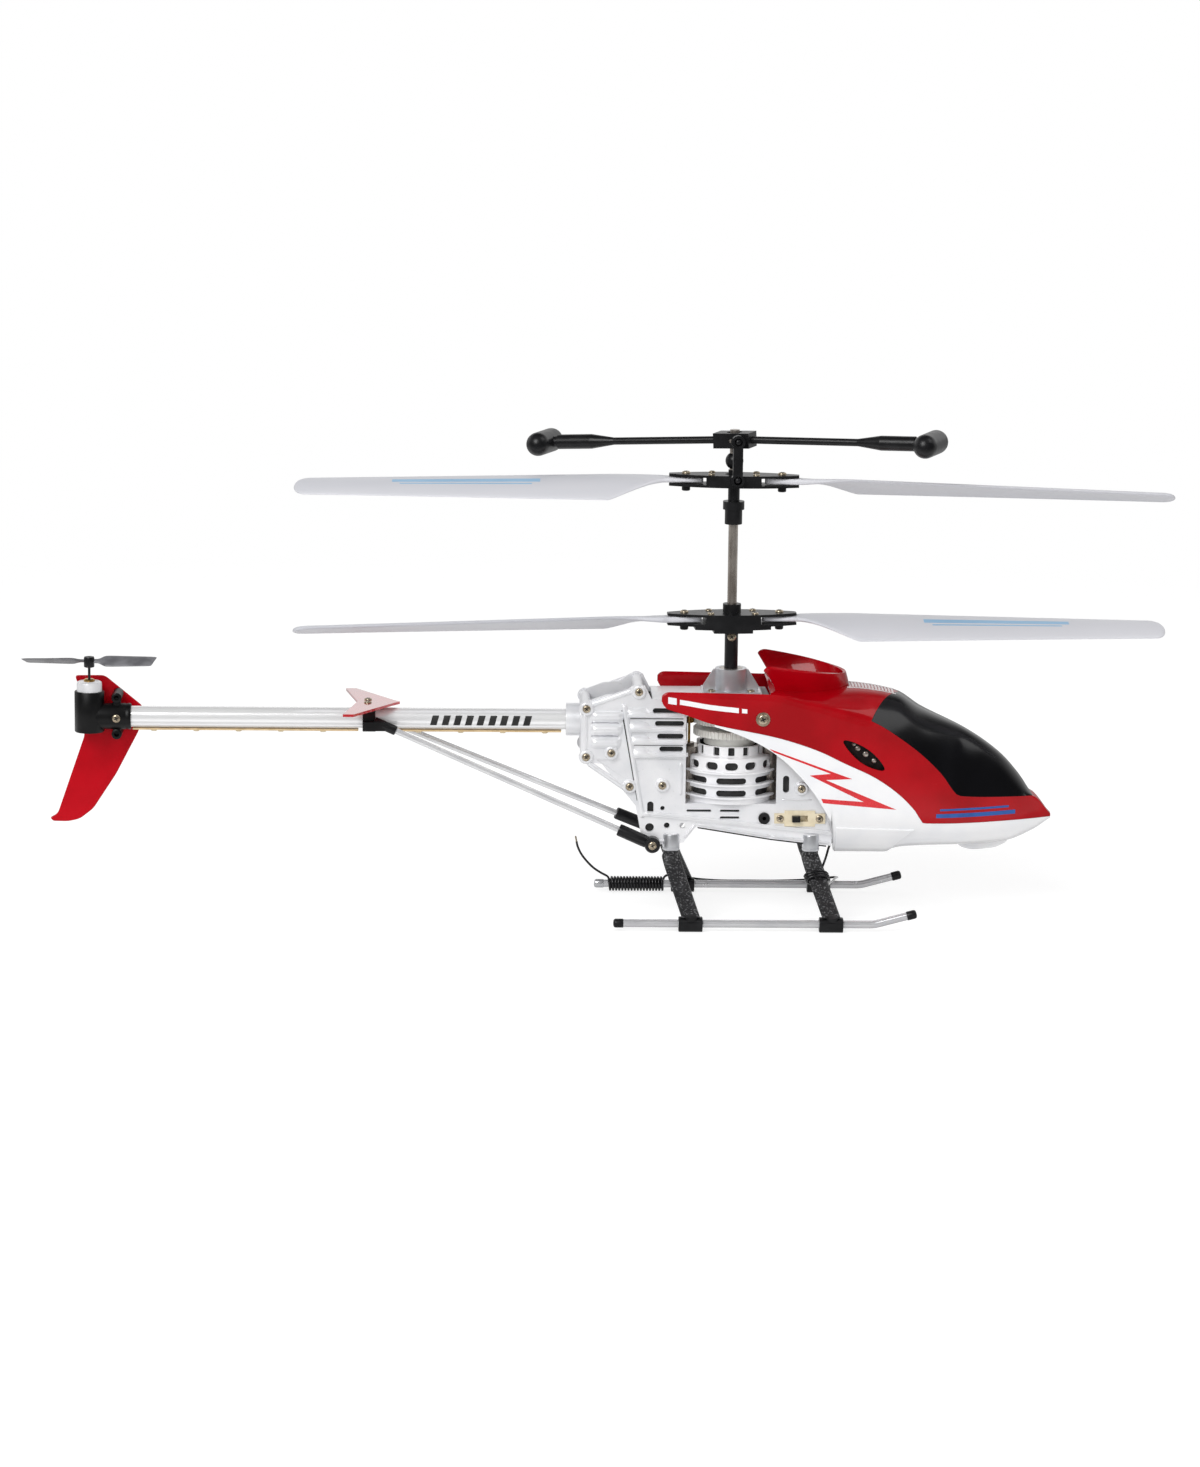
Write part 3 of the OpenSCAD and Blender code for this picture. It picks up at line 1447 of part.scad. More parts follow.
lead_in = [[46, -6, 43.4], [46, -6, 41.5], [45, -6, 37.6], [42.9, -6, 33.8], [40.4, -6.3, 30.8],
    [38.3, -7.4, 27.4], [37, -9.2, 23.6], [35.6, -11, 20.2]];
lead_out = [[37.7, -13.4, 14.4], [38, -8, 12.4], [39.5, 2, 10.6], [41.6, 14, 9], [43.4, 25, 7.6],
    [44.6, 31.6, 6.4], [44.8, 35, 5.7], [43.7, 37.3, 5.2], [41.6, 38.1, 4.8], [38, 37.9, 4.4],
    [30, 37.6, 3.9], [20, 37.5, 3.6], [10, 37.5, 3.6], [0, 37.5, 3.6], [-10, 37.6, 4.2],
    [-15, 37.6, 5.1], [-18.5, 37.5, 5.6], [-21, 37.2, 5.7], [-22, 36.95, 5.43],
    [-22.73, 36.65, 4.7]];
lead_end = wound_at(0) + [0, 0, wound_d + 0.2];
lead_path = concat(lead_in, leg_loops, lead_out, [lead_end]);
tail_start = wound_at(wound_n) + [0, 0, wound_d];
tail_path = concat([tail_start, tail_start + [0, 0, wire_d]],
    [[-44.6, 31.7, 6], [-47, 32, 7.4], [-50, 32.6, 9.2], [-53, 33.2, 12], [-55.3, 33.6, 15],
        [-56.6, 33.9, 17.8], [-57, 34, 19.6]]);

module antenna_lead() {
    color(black) at_mast() tube(lead_path, wire_d, 8, leg_dir);
}

module antenna_tail() {
    color(black) at_mast() tube(tail_path, wire_d, 8, [0, 1, 0]);
}

// Turns of the wire over a plain sleeve on the skid
module antenna_winding() {
    core_d = 2 * wound_r - wound_d - 0.1;
    color(black) at_mast() {
        tube(wound_path, wound_d, 6, [1, 0, 0]);
        difference() {
            rod([wound_rear, track_hw, skid_z], [wound_front, track_hw, skid_z], core_d);
            rod([wound_rear - 1, track_hw, skid_z], [wound_front + 1, track_hw, skid_z], skid_d);
        }
    }
}

frame_right();
frame_left();
frame_screws();
motor_shroud_right();
motor_shroud_left();
mast_housing();
shaft_bearings();
front_motor();
rear_motor();
boom_collar();
tail_boom();
led_strip();
boom_clamp();
stabiliser();
support_struts();
strut_ends();
tail_motor_holder();
tail_motor();
tail_fin();
fin_posts();
canopy_shell();
canopy_hull();
windscreen();
intake_scoop();
trim_screws();
nose_light();
battery();
circuit_board();
switch_body();
switch_slider();
charge_jack();
leg_front_right();
leg_rear_right();
leg_front_left();
leg_rear_left();
skid_right();
skid_left();
skid_clamps();
skid_caps();
antenna_lead();
antenna_winding();
antenna_tail();
outer_shaft();
lower_rotor_gear();
lower_grip();
lower_grip_bolts();
lower_blade_a();
lower_blade_b();
inner_shaft();
upper_rotor_gear();
mast_sleeve();
upper_grip();
upper_grip_bolts();
upper_blade_a();
upper_blade_b();
flybar();
pitch_link();
front_pinion();
rear_pinion();
tail_propeller();
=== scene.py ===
"""Dressed model of a coaxial remote control helicopter, built round its packed frame."""

import json
import logging
from dataclasses import dataclass, field
from enum import Enum
from math import atan2, copysign, cos, pi, radians, sin, sqrt, tan
from typing import Callable, Iterable, Sequence

import bmesh
import bpy
from mathutils import Matrix, Vector


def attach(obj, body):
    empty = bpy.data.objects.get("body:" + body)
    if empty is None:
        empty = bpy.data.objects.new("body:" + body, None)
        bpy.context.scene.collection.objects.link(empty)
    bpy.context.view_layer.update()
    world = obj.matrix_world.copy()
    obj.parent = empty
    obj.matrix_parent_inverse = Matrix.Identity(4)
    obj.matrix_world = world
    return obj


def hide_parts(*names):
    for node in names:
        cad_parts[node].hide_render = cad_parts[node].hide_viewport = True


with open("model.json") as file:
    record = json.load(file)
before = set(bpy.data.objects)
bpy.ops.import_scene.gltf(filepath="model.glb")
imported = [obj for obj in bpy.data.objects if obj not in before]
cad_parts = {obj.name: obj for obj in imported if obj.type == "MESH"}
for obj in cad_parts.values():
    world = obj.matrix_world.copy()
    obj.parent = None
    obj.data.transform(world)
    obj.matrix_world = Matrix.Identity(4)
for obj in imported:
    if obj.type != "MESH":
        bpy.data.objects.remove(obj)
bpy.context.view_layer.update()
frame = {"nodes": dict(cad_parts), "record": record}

LOG = logging.getLogger("helicopter")
MM = 0.001
MAST_X = 51.0
WELD = 2e-7
Point = tuple[float, float, float]
Colour = tuple[float, float, float]
Pair = tuple[float, float]
Outline = Sequence[Pair]
Grid = list[list[Point]]


class Body(str, Enum):
    """The packed bodies that pieces ride on."""

    AIRFRAME = "airframe"
    LOWER_ROTOR = "lower_rotor"
    LOWER_BLADE_A = "lower_blade_a"
    LOWER_BLADE_B = "lower_blade_b"
    UPPER_HEAD = "upper_head"
    UPPER_BLADE_A = "upper_blade_a"
    UPPER_BLADE_B = "upper_blade_b"
    TAIL_ROTOR = "tail_rotor"


class Side(Enum):
    """The two sides of the helicopter, by the sign of y."""

    RIGHT = -1
    LEFT = 1

    @property
    def word(self) -> str:
        """The side as a piece's name says it."""
        return self.name.lower()

    def point(self, x: float, out: float, z: float) -> Point:
        """Point that lies out from the middle on this side."""
        return (x, self.value * out, z)

    def ring_point(self, radius: float, turn: float, z: float) -> Point:
        """Point of a circle round the mast, turned from +x towards this side."""
        return (radius * cos(turn), self.value * radius * sin(turn), z)


class Rotor(Enum):
    """The two rotors: height of the head, and its feathering and turn at rest in degrees."""

    LOWER = (113.8, 0.0, 3.5)
    UPPER = (166.6, -1.3775, -3.6)

    @property
    def place(self) -> Matrix:
        """Where the head sits at rest.

        Returns:
            The head's place and turn, in millimetres.
        """
        height, *turns = self.value
        tilt, spin = (Matrix.Rotation(radians(a), 4, axis) for a, axis in zip(turns, "XZ"))
        return Matrix.Translation((0, 0, height)) @ tilt @ spin


class Sock:
    """A shader socket whose sums and products add Math nodes."""

    def __init__(self, shader: "Shader", socket: bpy.types.NodeSocket) -> None:
        """Keeps the socket and the shader it belongs to."""
        self.shader = shader
        self.socket = socket

    def _do(self, operation: str, *values: "Sock | float") -> "Sock":
        """Adds one Math node on the values."""
        return self.shader.node("ShaderNodeMath", {"operation": operation}, dict(enumerate(values)))

    def __add__(self, other: "Sock | float") -> "Sock":
        """Sum."""
        return self._do("ADD", self, other)

    __radd__ = __add__

    def __sub__(self, other: "Sock | float") -> "Sock":
        """Difference."""
        return self._do("SUBTRACT", self, other)

    def __rsub__(self, other: "Sock | float") -> "Sock":
        """Difference from a number."""
        return self._do("SUBTRACT", other, self)

    def __mul__(self, other: "Sock | float") -> "Sock":
        """Product."""
        return self._do("MULTIPLY", self, other)

    __rmul__ = __mul__

    def __or__(self, other: "Sock | float") -> "Sock":
        """The greater of two masks."""
        return self._do("MAXIMUM", self, other)

    __ror__ = __or__


class Shader:
    """Node tree of one material, or of the world."""

    def __init__(self, tree: bpy.types.NodeTree, output: str) -> None:
        """Empties the tree and gives it its output node.

        Args:
            tree: Node tree to fill.
            output: Type of its output node.
        """
        self.tree = tree
        self.tree.nodes.clear()
        self.output = self.tree.nodes.new(output)

    def node(
        self,
        kind: str,
        settings: dict | None = None,
        inputs: dict | None = None,
        out: int | str = 0,
    ) -> Sock:
        """Adds a node.

        Args:
            kind: The node's type.
            settings: Its properties.
            inputs: Values or sockets by input name or number.
            out: The output to hand on.

        Returns:
            The chosen output.
        """
        made = self.tree.nodes.new(kind)
        for key, value in (settings or {}).items():
            setattr(made, key, value)
        for key, value in (inputs or {}).items():
            if isinstance(value, Sock):
                self.tree.links.new(value.socket, made.inputs[key])
            else:
                made.inputs[key].default_value = value
        return Sock(self, made.outputs[out])

    def close(self, surface: Sock) -> None:
        """Links a shader to the output."""
        self.tree.links.new(surface.socket, self.output.inputs["Surface"])

    def place(self, stretch: Point = (1, 1, 1)) -> Sock:
        """Object coordinates in millimetres, times a stretch on each axis."""
        inputs = {0: self.node("ShaderNodeTexCoord", out="Object"), 1: [s / MM for s in stretch]}
        return self.node("ShaderNodeVectorMath", {"operation": "MULTIPLY"}, inputs)

    def axis(self, vector: Sock, name: str) -> Sock:
        """One part of a vector."""
        return self.node("ShaderNodeSeparateXYZ", inputs={0: vector}, out=name)

    def noise(self, size: float, detail: float = 2.0, stretch: Point = (1, 1, 1)) -> Sock:
        """Noise whose blotches are about size millimetres across."""
        inputs = {"Vector": self.place(stretch), "Scale": 1 / size, "Detail": detail}
        return self.node("ShaderNodeTexNoise", inputs=inputs)

    def spots(self, size: float) -> Sock:
        """Distance to the nearest of many scattered points, size millimetres apart."""
        inputs = {"Vector": self.place(), "Scale": 1 / size}
        return self.node("ShaderNodeTexVoronoi", inputs=inputs, out="Distance")

    def mix(self, share: Sock | float, one: Sock | Colour, two: Sock | Colour) -> Sock:
        """Colour between two colours."""
        pair = [c if isinstance(c, Sock) else (*c, 1) for c in (one, two)]
        return self.node("ShaderNodeMix", {"data_type": "RGBA"}, {0: share, 6: pair[0], 7: pair[1]}, out=2)

    def step(self, value: Sock, low: float, high: float) -> Sock:
        """Nought below low, one above high, smooth between."""
        inputs = {"Value": value, "From Min": low, "From Max": high}
        return self.node("ShaderNodeMapRange", {"interpolation_type": "SMOOTHSTEP"}, inputs)

    def bump(self, height: Sock, depth: float, under: Sock | None = None) -> Sock:
        """Normal of a surface that rises by depth millimetres where height is one."""
        inputs = {"Height": height, "Distance": depth * MM, "Strength": 1.0}
        return self.node("ShaderNodeBump", inputs=inputs if under is None else inputs | {"Normal": under})

    def ray(self, kind: str) -> Sock:
        """One for rays of a kind, such as Camera or Glossy."""
        return self.node("ShaderNodeLightPath", out=f"Is {kind} Ray")

    def seen(self) -> Sock:
        """One for the rays that show a background, straight or in gloss or glass."""
        return self.ray("Camera") | self.ray("Glossy") | self.ray("Transmission")

    def shine(self, kind: str, strength: float) -> Sock:
        """White light of a strength."""
        return self.node(kind, inputs={"Color": (1, 1, 1, 1), "Strength": strength})

    def blend(self, share: Sock, one: Sock, two: Sock) -> Sock:
        """Shader between two shaders."""
        return self.node("ShaderNodeMixShader", inputs={0: share, 1: one, 2: two})


def tint(code: str) -> Colour:
    """Linear colour of a screen colour's six-figure code."""
    parts = [v / 255 for v in bytes.fromhex(code)]
    return tuple(v / 12.92 if v <= 0.04045 else ((v + 0.055) / 1.055) ** 2.4 for v in parts)


@dataclass(frozen=True)
class Finish:
    """Finish of one slot: a blotched colour, uneven gloss and a fine grain."""

    slot: str
    colour: str
    shade: str
    rough: Pair
    metal: float = 0.0
    coat: float = 0.0
    blotch: float = 8.0
    grain: float = 0.3
    depth: float = 0.012
    stretch: Point = (1, 1, 1)
    specular: float = 0.5
    tag: str = "finish"

    def base(self, shader: Shader) -> Sock:
        """Colour over the surface."""
        cloud = shader.step(shader.noise(self.blotch, 3.0, self.stretch), 0.35, 0.68)
        return shader.mix(cloud, tint(self.colour), tint(self.shade))

    def gloss(self, shader: Shader) -> Sock:
        """Roughness over the surface."""
        least, most = self.rough
        return least + (most - least) * shader.noise(self.blotch * 0.4, 4.0, self.stretch)

    def normal(self, shader: Shader) -> Sock:
        """Normal of the grain."""
        return shader.bump(shader.noise(self.grain, 3.0, self.stretch), self.depth)

    def material(self) -> bpy.types.Material:
        """The finish as a material, made once.

        Returns:
            The material named for the slot.
        """
        name = f"{self.slot}_{self.tag}"
        found = bpy.data.materials.get(name)
        if found is not None:
            return found
        made = bpy.data.materials.new(name)
        made.use_nodes = True
        made.diffuse_color = (*tint(self.colour), 1)
        shader = Shader(made.node_tree, "ShaderNodeOutputMaterial")
        inputs = {
            "Metallic": self.metal,
            "Coat Weight": self.coat,
            "Coat Roughness": 0.04,
            "Specular IOR Level": self.specular,
            "Base Color": self.base(shader),
            "Roughness": self.gloss(shader),
            "Normal": self.normal(shader),
        }
        shader.close(shader.node("ShaderNodeBsdfPrincipled", inputs=inputs))
        return made


@dataclass(frozen=True)
class PearlRed(Finish):
    """Clear coated red with fine flakes."""

    flake: float = 0.22
    flake_tint: str = "ec545a"

    def base(self, shader: Shader) -> Sock:
        """Red that is a little deeper in clouds, with brighter flakes."""
        flakes = 0.14 * shader.step(shader.spots(self.flake), 0.16, 0.02)
        return shader.mix(flakes, super().base(shader), tint(self.flake_tint))


@dataclass(frozen=True)
class CastMetal(Finish):
    """Silver plated metal with a satin bloom and a few duller specks."""

    speck: float = 0.8
    speck_tint: str = "8c8882"

    def base(self, shader: Shader) -> Sock:
        """Bright metal with a few warmer, duller specks."""
        specks = 0.16 * shader.step(shader.noise(self.speck, 1.0), 0.68, 0.82)
        return shader.mix(specks, super().base(shader), tint(self.speck_tint))


@dataclass(frozen=True)
class MouldedBlade(Finish):
    """White moulding with fine scuffs along the blade."""

    scuff: float = 0.9

    def gloss(self, shader: Shader) -> Sock:
        """Gloss broken by long scuffs."""
        scuffs = shader.step(shader.noise(self.scuff, 2.0, (0.05, 1, 1)), 0.6, 0.75)
        return super().gloss(shader) + 0.05 * scuffs


@dataclass(frozen=True)
class PebbledPlastic(Finish):
    """Black moulding with a coarse, pebbled skin."""

    glint_tint: str = "68686a"

    def base(self, shader: Shader) -> Sock:
        """Black with paler specks on the grains: painted glints."""
        grains = shader.step(shader.noise(self.grain, 1.0), 0.52, 0.72)
        return shader.mix(grains, super().base(shader), tint(self.glint_tint))

    def normal(self, shader: Shader) -> Sock:
        """Rounded grains over a fine noise."""
        return shader.bump(shader.spots(self.grain), self.depth, super().normal(shader))


class Finishes:
    """All the finishes of the helicopter, by the record's slots."""

    SILVER = CastMetal(
        "frame_silver", "f3f3f5", "e5e6e9", (0.26, 0.4), metal=0.36, blotch=14, grain=0.25, depth=0.005,
    )
    TUBE = Finish(
        "polished_tube", "fafafa", "f2f2f3", (0.14, 0.24),
        metal=0.42, blotch=9, depth=0.003, stretch=(0.08, 1, 1),
    )
    STEEL = Finish(
        "steel", "bcb4ac", "968d84", (0.2, 0.36), metal=0.8, blotch=4, depth=0.004, stretch=(1, 1, 0.3),
    )
    BLACK = Finish(
        "black_plastic", "0f0f11", "18181a", (0.26, 0.42), blotch=5, grain=0.25, depth=0.01, specular=0.4,
    )
    LEG = PebbledPlastic("leg_black", "141416", "1e1e20", (0.36, 0.5), blotch=3, grain=0.7, depth=0.06)
    RED = PearlRed(
        "canopy_red", "aa000f", "96000a", (0.2, 0.3),
        coat=0.4, blotch=22, grain=0.5, depth=0.001, specular=0.1,
    )
    WHITE = Finish(
        "hull_white", "f0f0f1", "e9eaed", (0.16, 0.26), coat=0.6, blotch=14, grain=0.6, depth=0.004,
    )
    WINDOW = Finish(
        "window_dark", "08080a", "0b0b0e", (0.13, 0.2), blotch=16, grain=1.5, depth=0.001, specular=0.34,
    )
    BLADE = MouldedBlade(
        "blade_white", "ceced3", "c7c8ce", (0.36, 0.44),
        blotch=24, grain=2.5, depth=0.001, stretch=(0.1, 1, 1),
    )
    GEAR = Finish("gear_white", "ecebe6", "e2e1db", (0.32, 0.46), blotch=5, depth=0.006)
    BRASS = Finish("brass", "cda55c", "aa8246", (0.2, 0.38), metal=1.0, blotch=2, grain=0.2, depth=0.004)
    LAMP = Finish(
        "lamp_clear", "d4dee8", "becbd8", (0.06, 0.14), coat=1.0, blotch=2, grain=0.4, depth=0.004,
    )
    STRIP = Finish("strip_tan", "d6bc92", "c6aa7e", (0.38, 0.55), blotch=3, grain=0.25)
    CREAM = Finish("switch_cream", "e2d6ba", "d6c8aa", (0.34, 0.48), blotch=3, depth=0.01)
    FOIL = Finish("cell_foil", "b0b4bc", "9296a0", (0.24, 0.42), metal=0.9, blotch=4, grain=1.2, depth=0.05)
    BOARD = Finish(
        "board_green", "165432", "104228", (0.24, 0.36), coat=0.3, blotch=2, grain=0.4, depth=0.01,
    )
    FLASH = Finish(
        "canopy_red", "d61a26", "cc1420", (0.22, 0.32),
        coat=0.4, blotch=6, grain=0.5, depth=0.003, tag="flash",
    )
    BLUE = Finish(
        "canopy_red", "1854a0", "124892", (0.3, 0.42),
        coat=0.2, blotch=5, grain=0.4, depth=0.004, tag="stripe",
    )
    PALE = Finish(
        "blade_white", "96bad6", "8cb2d0", (0.34, 0.46), blotch=24, grain=1.5, depth=0.004, tag="pale",
    )
    # Pale pinkish grille: partly its own light colour and partly painted reflection.
    LOUVRE = Finish(
        "frame_silver", "e2dada", "cec4c5", (0.26, 0.38),
        metal=0.3, coat=0.2, blotch=3, depth=0.004, tag="louvre",
    )
    TRAY = Finish(
        "black_plastic", "100b0b", "221816", (0.3, 0.44),
        blotch=3, grain=0.4, depth=0.002, specular=0.2, tag="tray",
    )
    # Dark plastic for the strips and sheets of painted shade in the frame, and for the plain printed bars on
    # the boom.
    LINING = Finish(
        "black_plastic", "1e1e1f", "2c2b2a", (0.5, 0.65), blotch=4, grain=0.4, depth=0.02, tag="lining",
    )
    BRIGHT = Finish(
        "steel", "cec0a8", "aa9c86", (0.2, 0.34),
        metal=0.85, blotch=2, grain=0.2, depth=0.004, tag="bright",
    )
    ALLOY = Finish(
        "frame_silver", "eeeff1", "e0e1e4", (0.16, 0.28),
        metal=0.8, blotch=7, grain=0.6, depth=0.001, stretch=(0.1, 1, 1), tag="alloy",
    )
    FIN = PearlRed(
        "canopy_red", "b80316", "a80111", (0.24, 0.34),
        coat=0.12, blotch=20, grain=0.5, depth=0.002, specular=0.08, tag="fin",
    )
    PLATE = PearlRed(
        "canopy_red", "be061a", "b00314", (0.1, 0.18),
        coat=1.0, blotch=20, grain=0.5, depth=0.002, specular=0.8, tag="plate",
    )
    ROD = Finish(
        "polished_tube", "f0f0f1", "e6e6e8", (0.18, 0.26),
        metal=0.55, blotch=12, grain=2.0, depth=0.001, tag="rod",
    )
    # Frame silver made brighter for the drum: painted light against the shade that the frame casts into its
    # opening.
    DRUM = CastMetal(
        "frame_silver", "fcfcfd", "f0f0f3", (0.26, 0.38),
        metal=0.2, blotch=14, grain=0.25, depth=0.005, tag="drum",
    )
    SKID = Finish(
        "polished_tube", "ececee", "e2e2e5", (0.22, 0.3),
        metal=0.66, blotch=12, grain=2.0, depth=0.0005, tag="skid",
    )
    HOUSING = CastMetal(
        "frame_silver", "e0e1e4", "ced0d4", (0.3, 0.42),
        metal=0.8, blotch=9, grain=0.25, depth=0.006, tag="housing",
    )
    HOLDER = Finish(
        "black_plastic", "080809", "0e0e0f", (0.34, 0.46),
        blotch=3, depth=0.008, specular=0.28, tag="holder",
    )
    PROP = Finish("black_plastic", "747478", "5c5c60", (0.3, 0.42), blotch=5, depth=0.006, tag="prop")
    WIRE = Finish("wire_black", "0d0d0f", "161619", (0.16, 0.28), coat=0.3, blotch=2, depth=0.006)


BY_SLOT: dict[str, Finish] = {
    f.slot: f for f in vars(Finishes).values() if isinstance(f, Finish) and f.tag == "finish"
}
OWN_FINISH: dict[str, Finish] = {"stabiliser": Finishes.PLATE, "mast_housing": Finishes.HOUSING}


class Curve(Enum):
    """How a line runs between its given places."""

    SMOOTH = "smooth"
    STRAIGHT = "straight"


class Line:
    """A line through (place, value) pairs that never overshoots them."""

    def __init__(self, *pairs: Pair, curve: Curve = Curve.SMOOTH) -> None:
        """Keeps the pairs and works out a slope at each.

        Args:
            pairs: Places and the values there.
            curve: How the line runs between them.
        """
        self.pairs = sorted(pairs)
        self.curve = curve
        steps = [(v1 - v0) / (p1 - p0) for (p0, v0), (p1, v1) in zip(self.pairs, self.pairs[1:])]
        self.slopes = [steps[0]]
        for one, two in zip(steps, steps[1:]):
            self.slopes.append(0 if one * two <= 0 else 2 * one * two / (one + two))
        self.slopes.append(steps[-1])

    def __call__(self, place: float) -> float:
        """Value at a place; level beyond both ends.

        Args:
            place: Where the value is wanted.

        Returns:
            The value.
        """
        if place <= self.pairs[0][0]:
            return self.pairs[0][1]
        for i, ((p0, v0), (p1, v1)) in enumerate(zip(self.pairs, self.pairs[1:])):
            if place <= p1:
                run = p1 - p0
                t = (place - p0) / run
                if self.curve is Curve.STRAIGHT:
                    return v0 + (v1 - v0) * t
                return (
                    v0 * (1 + 2 * t) * (1 - t) ** 2
                    + v1 * t * t * (3 - 2 * t)
                    + run * t * (1 - t) * (self.slopes[i] * (1 - t) - self.slopes[i + 1] * t)
                )
        return self.pairs[-1][1]


def spread(start: float, end: float, count: int) -> list[float]:
    """Evenly spaced numbers from start to end."""
    return [start + (end - start) * i / (count - 1) for i in range(count)]


def between(one: float, two: float, share: float) -> float:
    """Number a share of the way from one to two."""
    return one + (two - one) * share


def bend(start: Vector, corner: Vector, end: Vector, t: float) -> Vector:
    """Point a share of the way along the curve that rounds a corner."""
    return (1 - t) ** 2 * start + 2 * t * (1 - t) * corner + t * t * end


def quarter_round(share: float) -> float:
    """Height of a quarter circle, from nought to one."""
    return sqrt(max(0.0, 1 - (1 - share) ** 2))


def sheet(point: Callable[[float, float], Point], rows: Iterable[float], cols: Sequence[float]) -> Grid:
    """Rows of points of a surface."""
    return [[point(u, v) for v in cols] for u in rows]


def rounded(wide: float, deep: float, corner: float, count: int = 5) -> list[Pair]:
    """Outline of a rectangle with round corners, about its middle.

    Args:
        wide: Its first size.
        deep: Its second size.
        corner: Radius of its corners.
        count: Points on each corner.

    Returns:
        The points.
    """
    made = []
    for k, (sx, sy) in enumerate(((1, 1), (-1, 1), (-1, -1), (1, -1))):
        x, y = sx * (wide / 2 - corner), sy * (deep / 2 - corner)
        for a in spread(pi / 2 * k, pi / 2 * (k + 1), count):
            made.append((x + corner * cos(a), y + corner * sin(a)))
    return made


def linked(name: str, data: bpy.types.ID) -> bpy.types.Object:
    """Puts a new object in the scene.

    Args:
        name: Its name.
        data: Its mesh, curve, lamp or camera.

    Returns:
        The object.
    """
    made = bpy.data.objects.new(name, data)
    bpy.context.scene.collection.objects.link(made)
    return made


def round_edges(thing: bpy.types.Object, width: float, steps: int, angle: float) -> None:
    """Rounds an object's sharp edges.

    Args:
        thing: The object.
        width: Width of the rounding in millimetres.
        steps: Faces across it.
        angle: Edges sharper than this are rounded, in degrees.
    """
    rounding = thing.modifiers.new("rounding", "BEVEL")
    rounding.width = width * MM
    rounding.segments = steps
    rounding.limit_method = "ANGLE"
    rounding.angle_limit = radians(angle)


def cut_away(thing: bpy.types.Object, form: bpy.types.Mesh) -> bpy.types.Mesh:
    """Cuts a closed form out of an object.

    Args:
        thing: The object to cut.
        form: The form's mesh.

    Returns:
        The mesh that is left.
    """
    tool = linked("cutter", form)
    cut = thing.modifiers.new("cut", "BOOLEAN")
    cut.operation = "DIFFERENCE"
    cut.solver = "EXACT"
    cut.object = tool
    left = bpy.data.meshes.new_from_object(thing.evaluated_get(bpy.context.evaluated_depsgraph_get()))
    thing.modifiers.clear()
    bpy.data.objects.remove(tool)
    return left


def metres(points: Iterable[Point]) -> list[Point]:
    """Points in metres in the row frame, from millimetres at the mast's foot."""
    return [((x + MAST_X) * MM, y * MM, z * MM) for x, y, z in points]


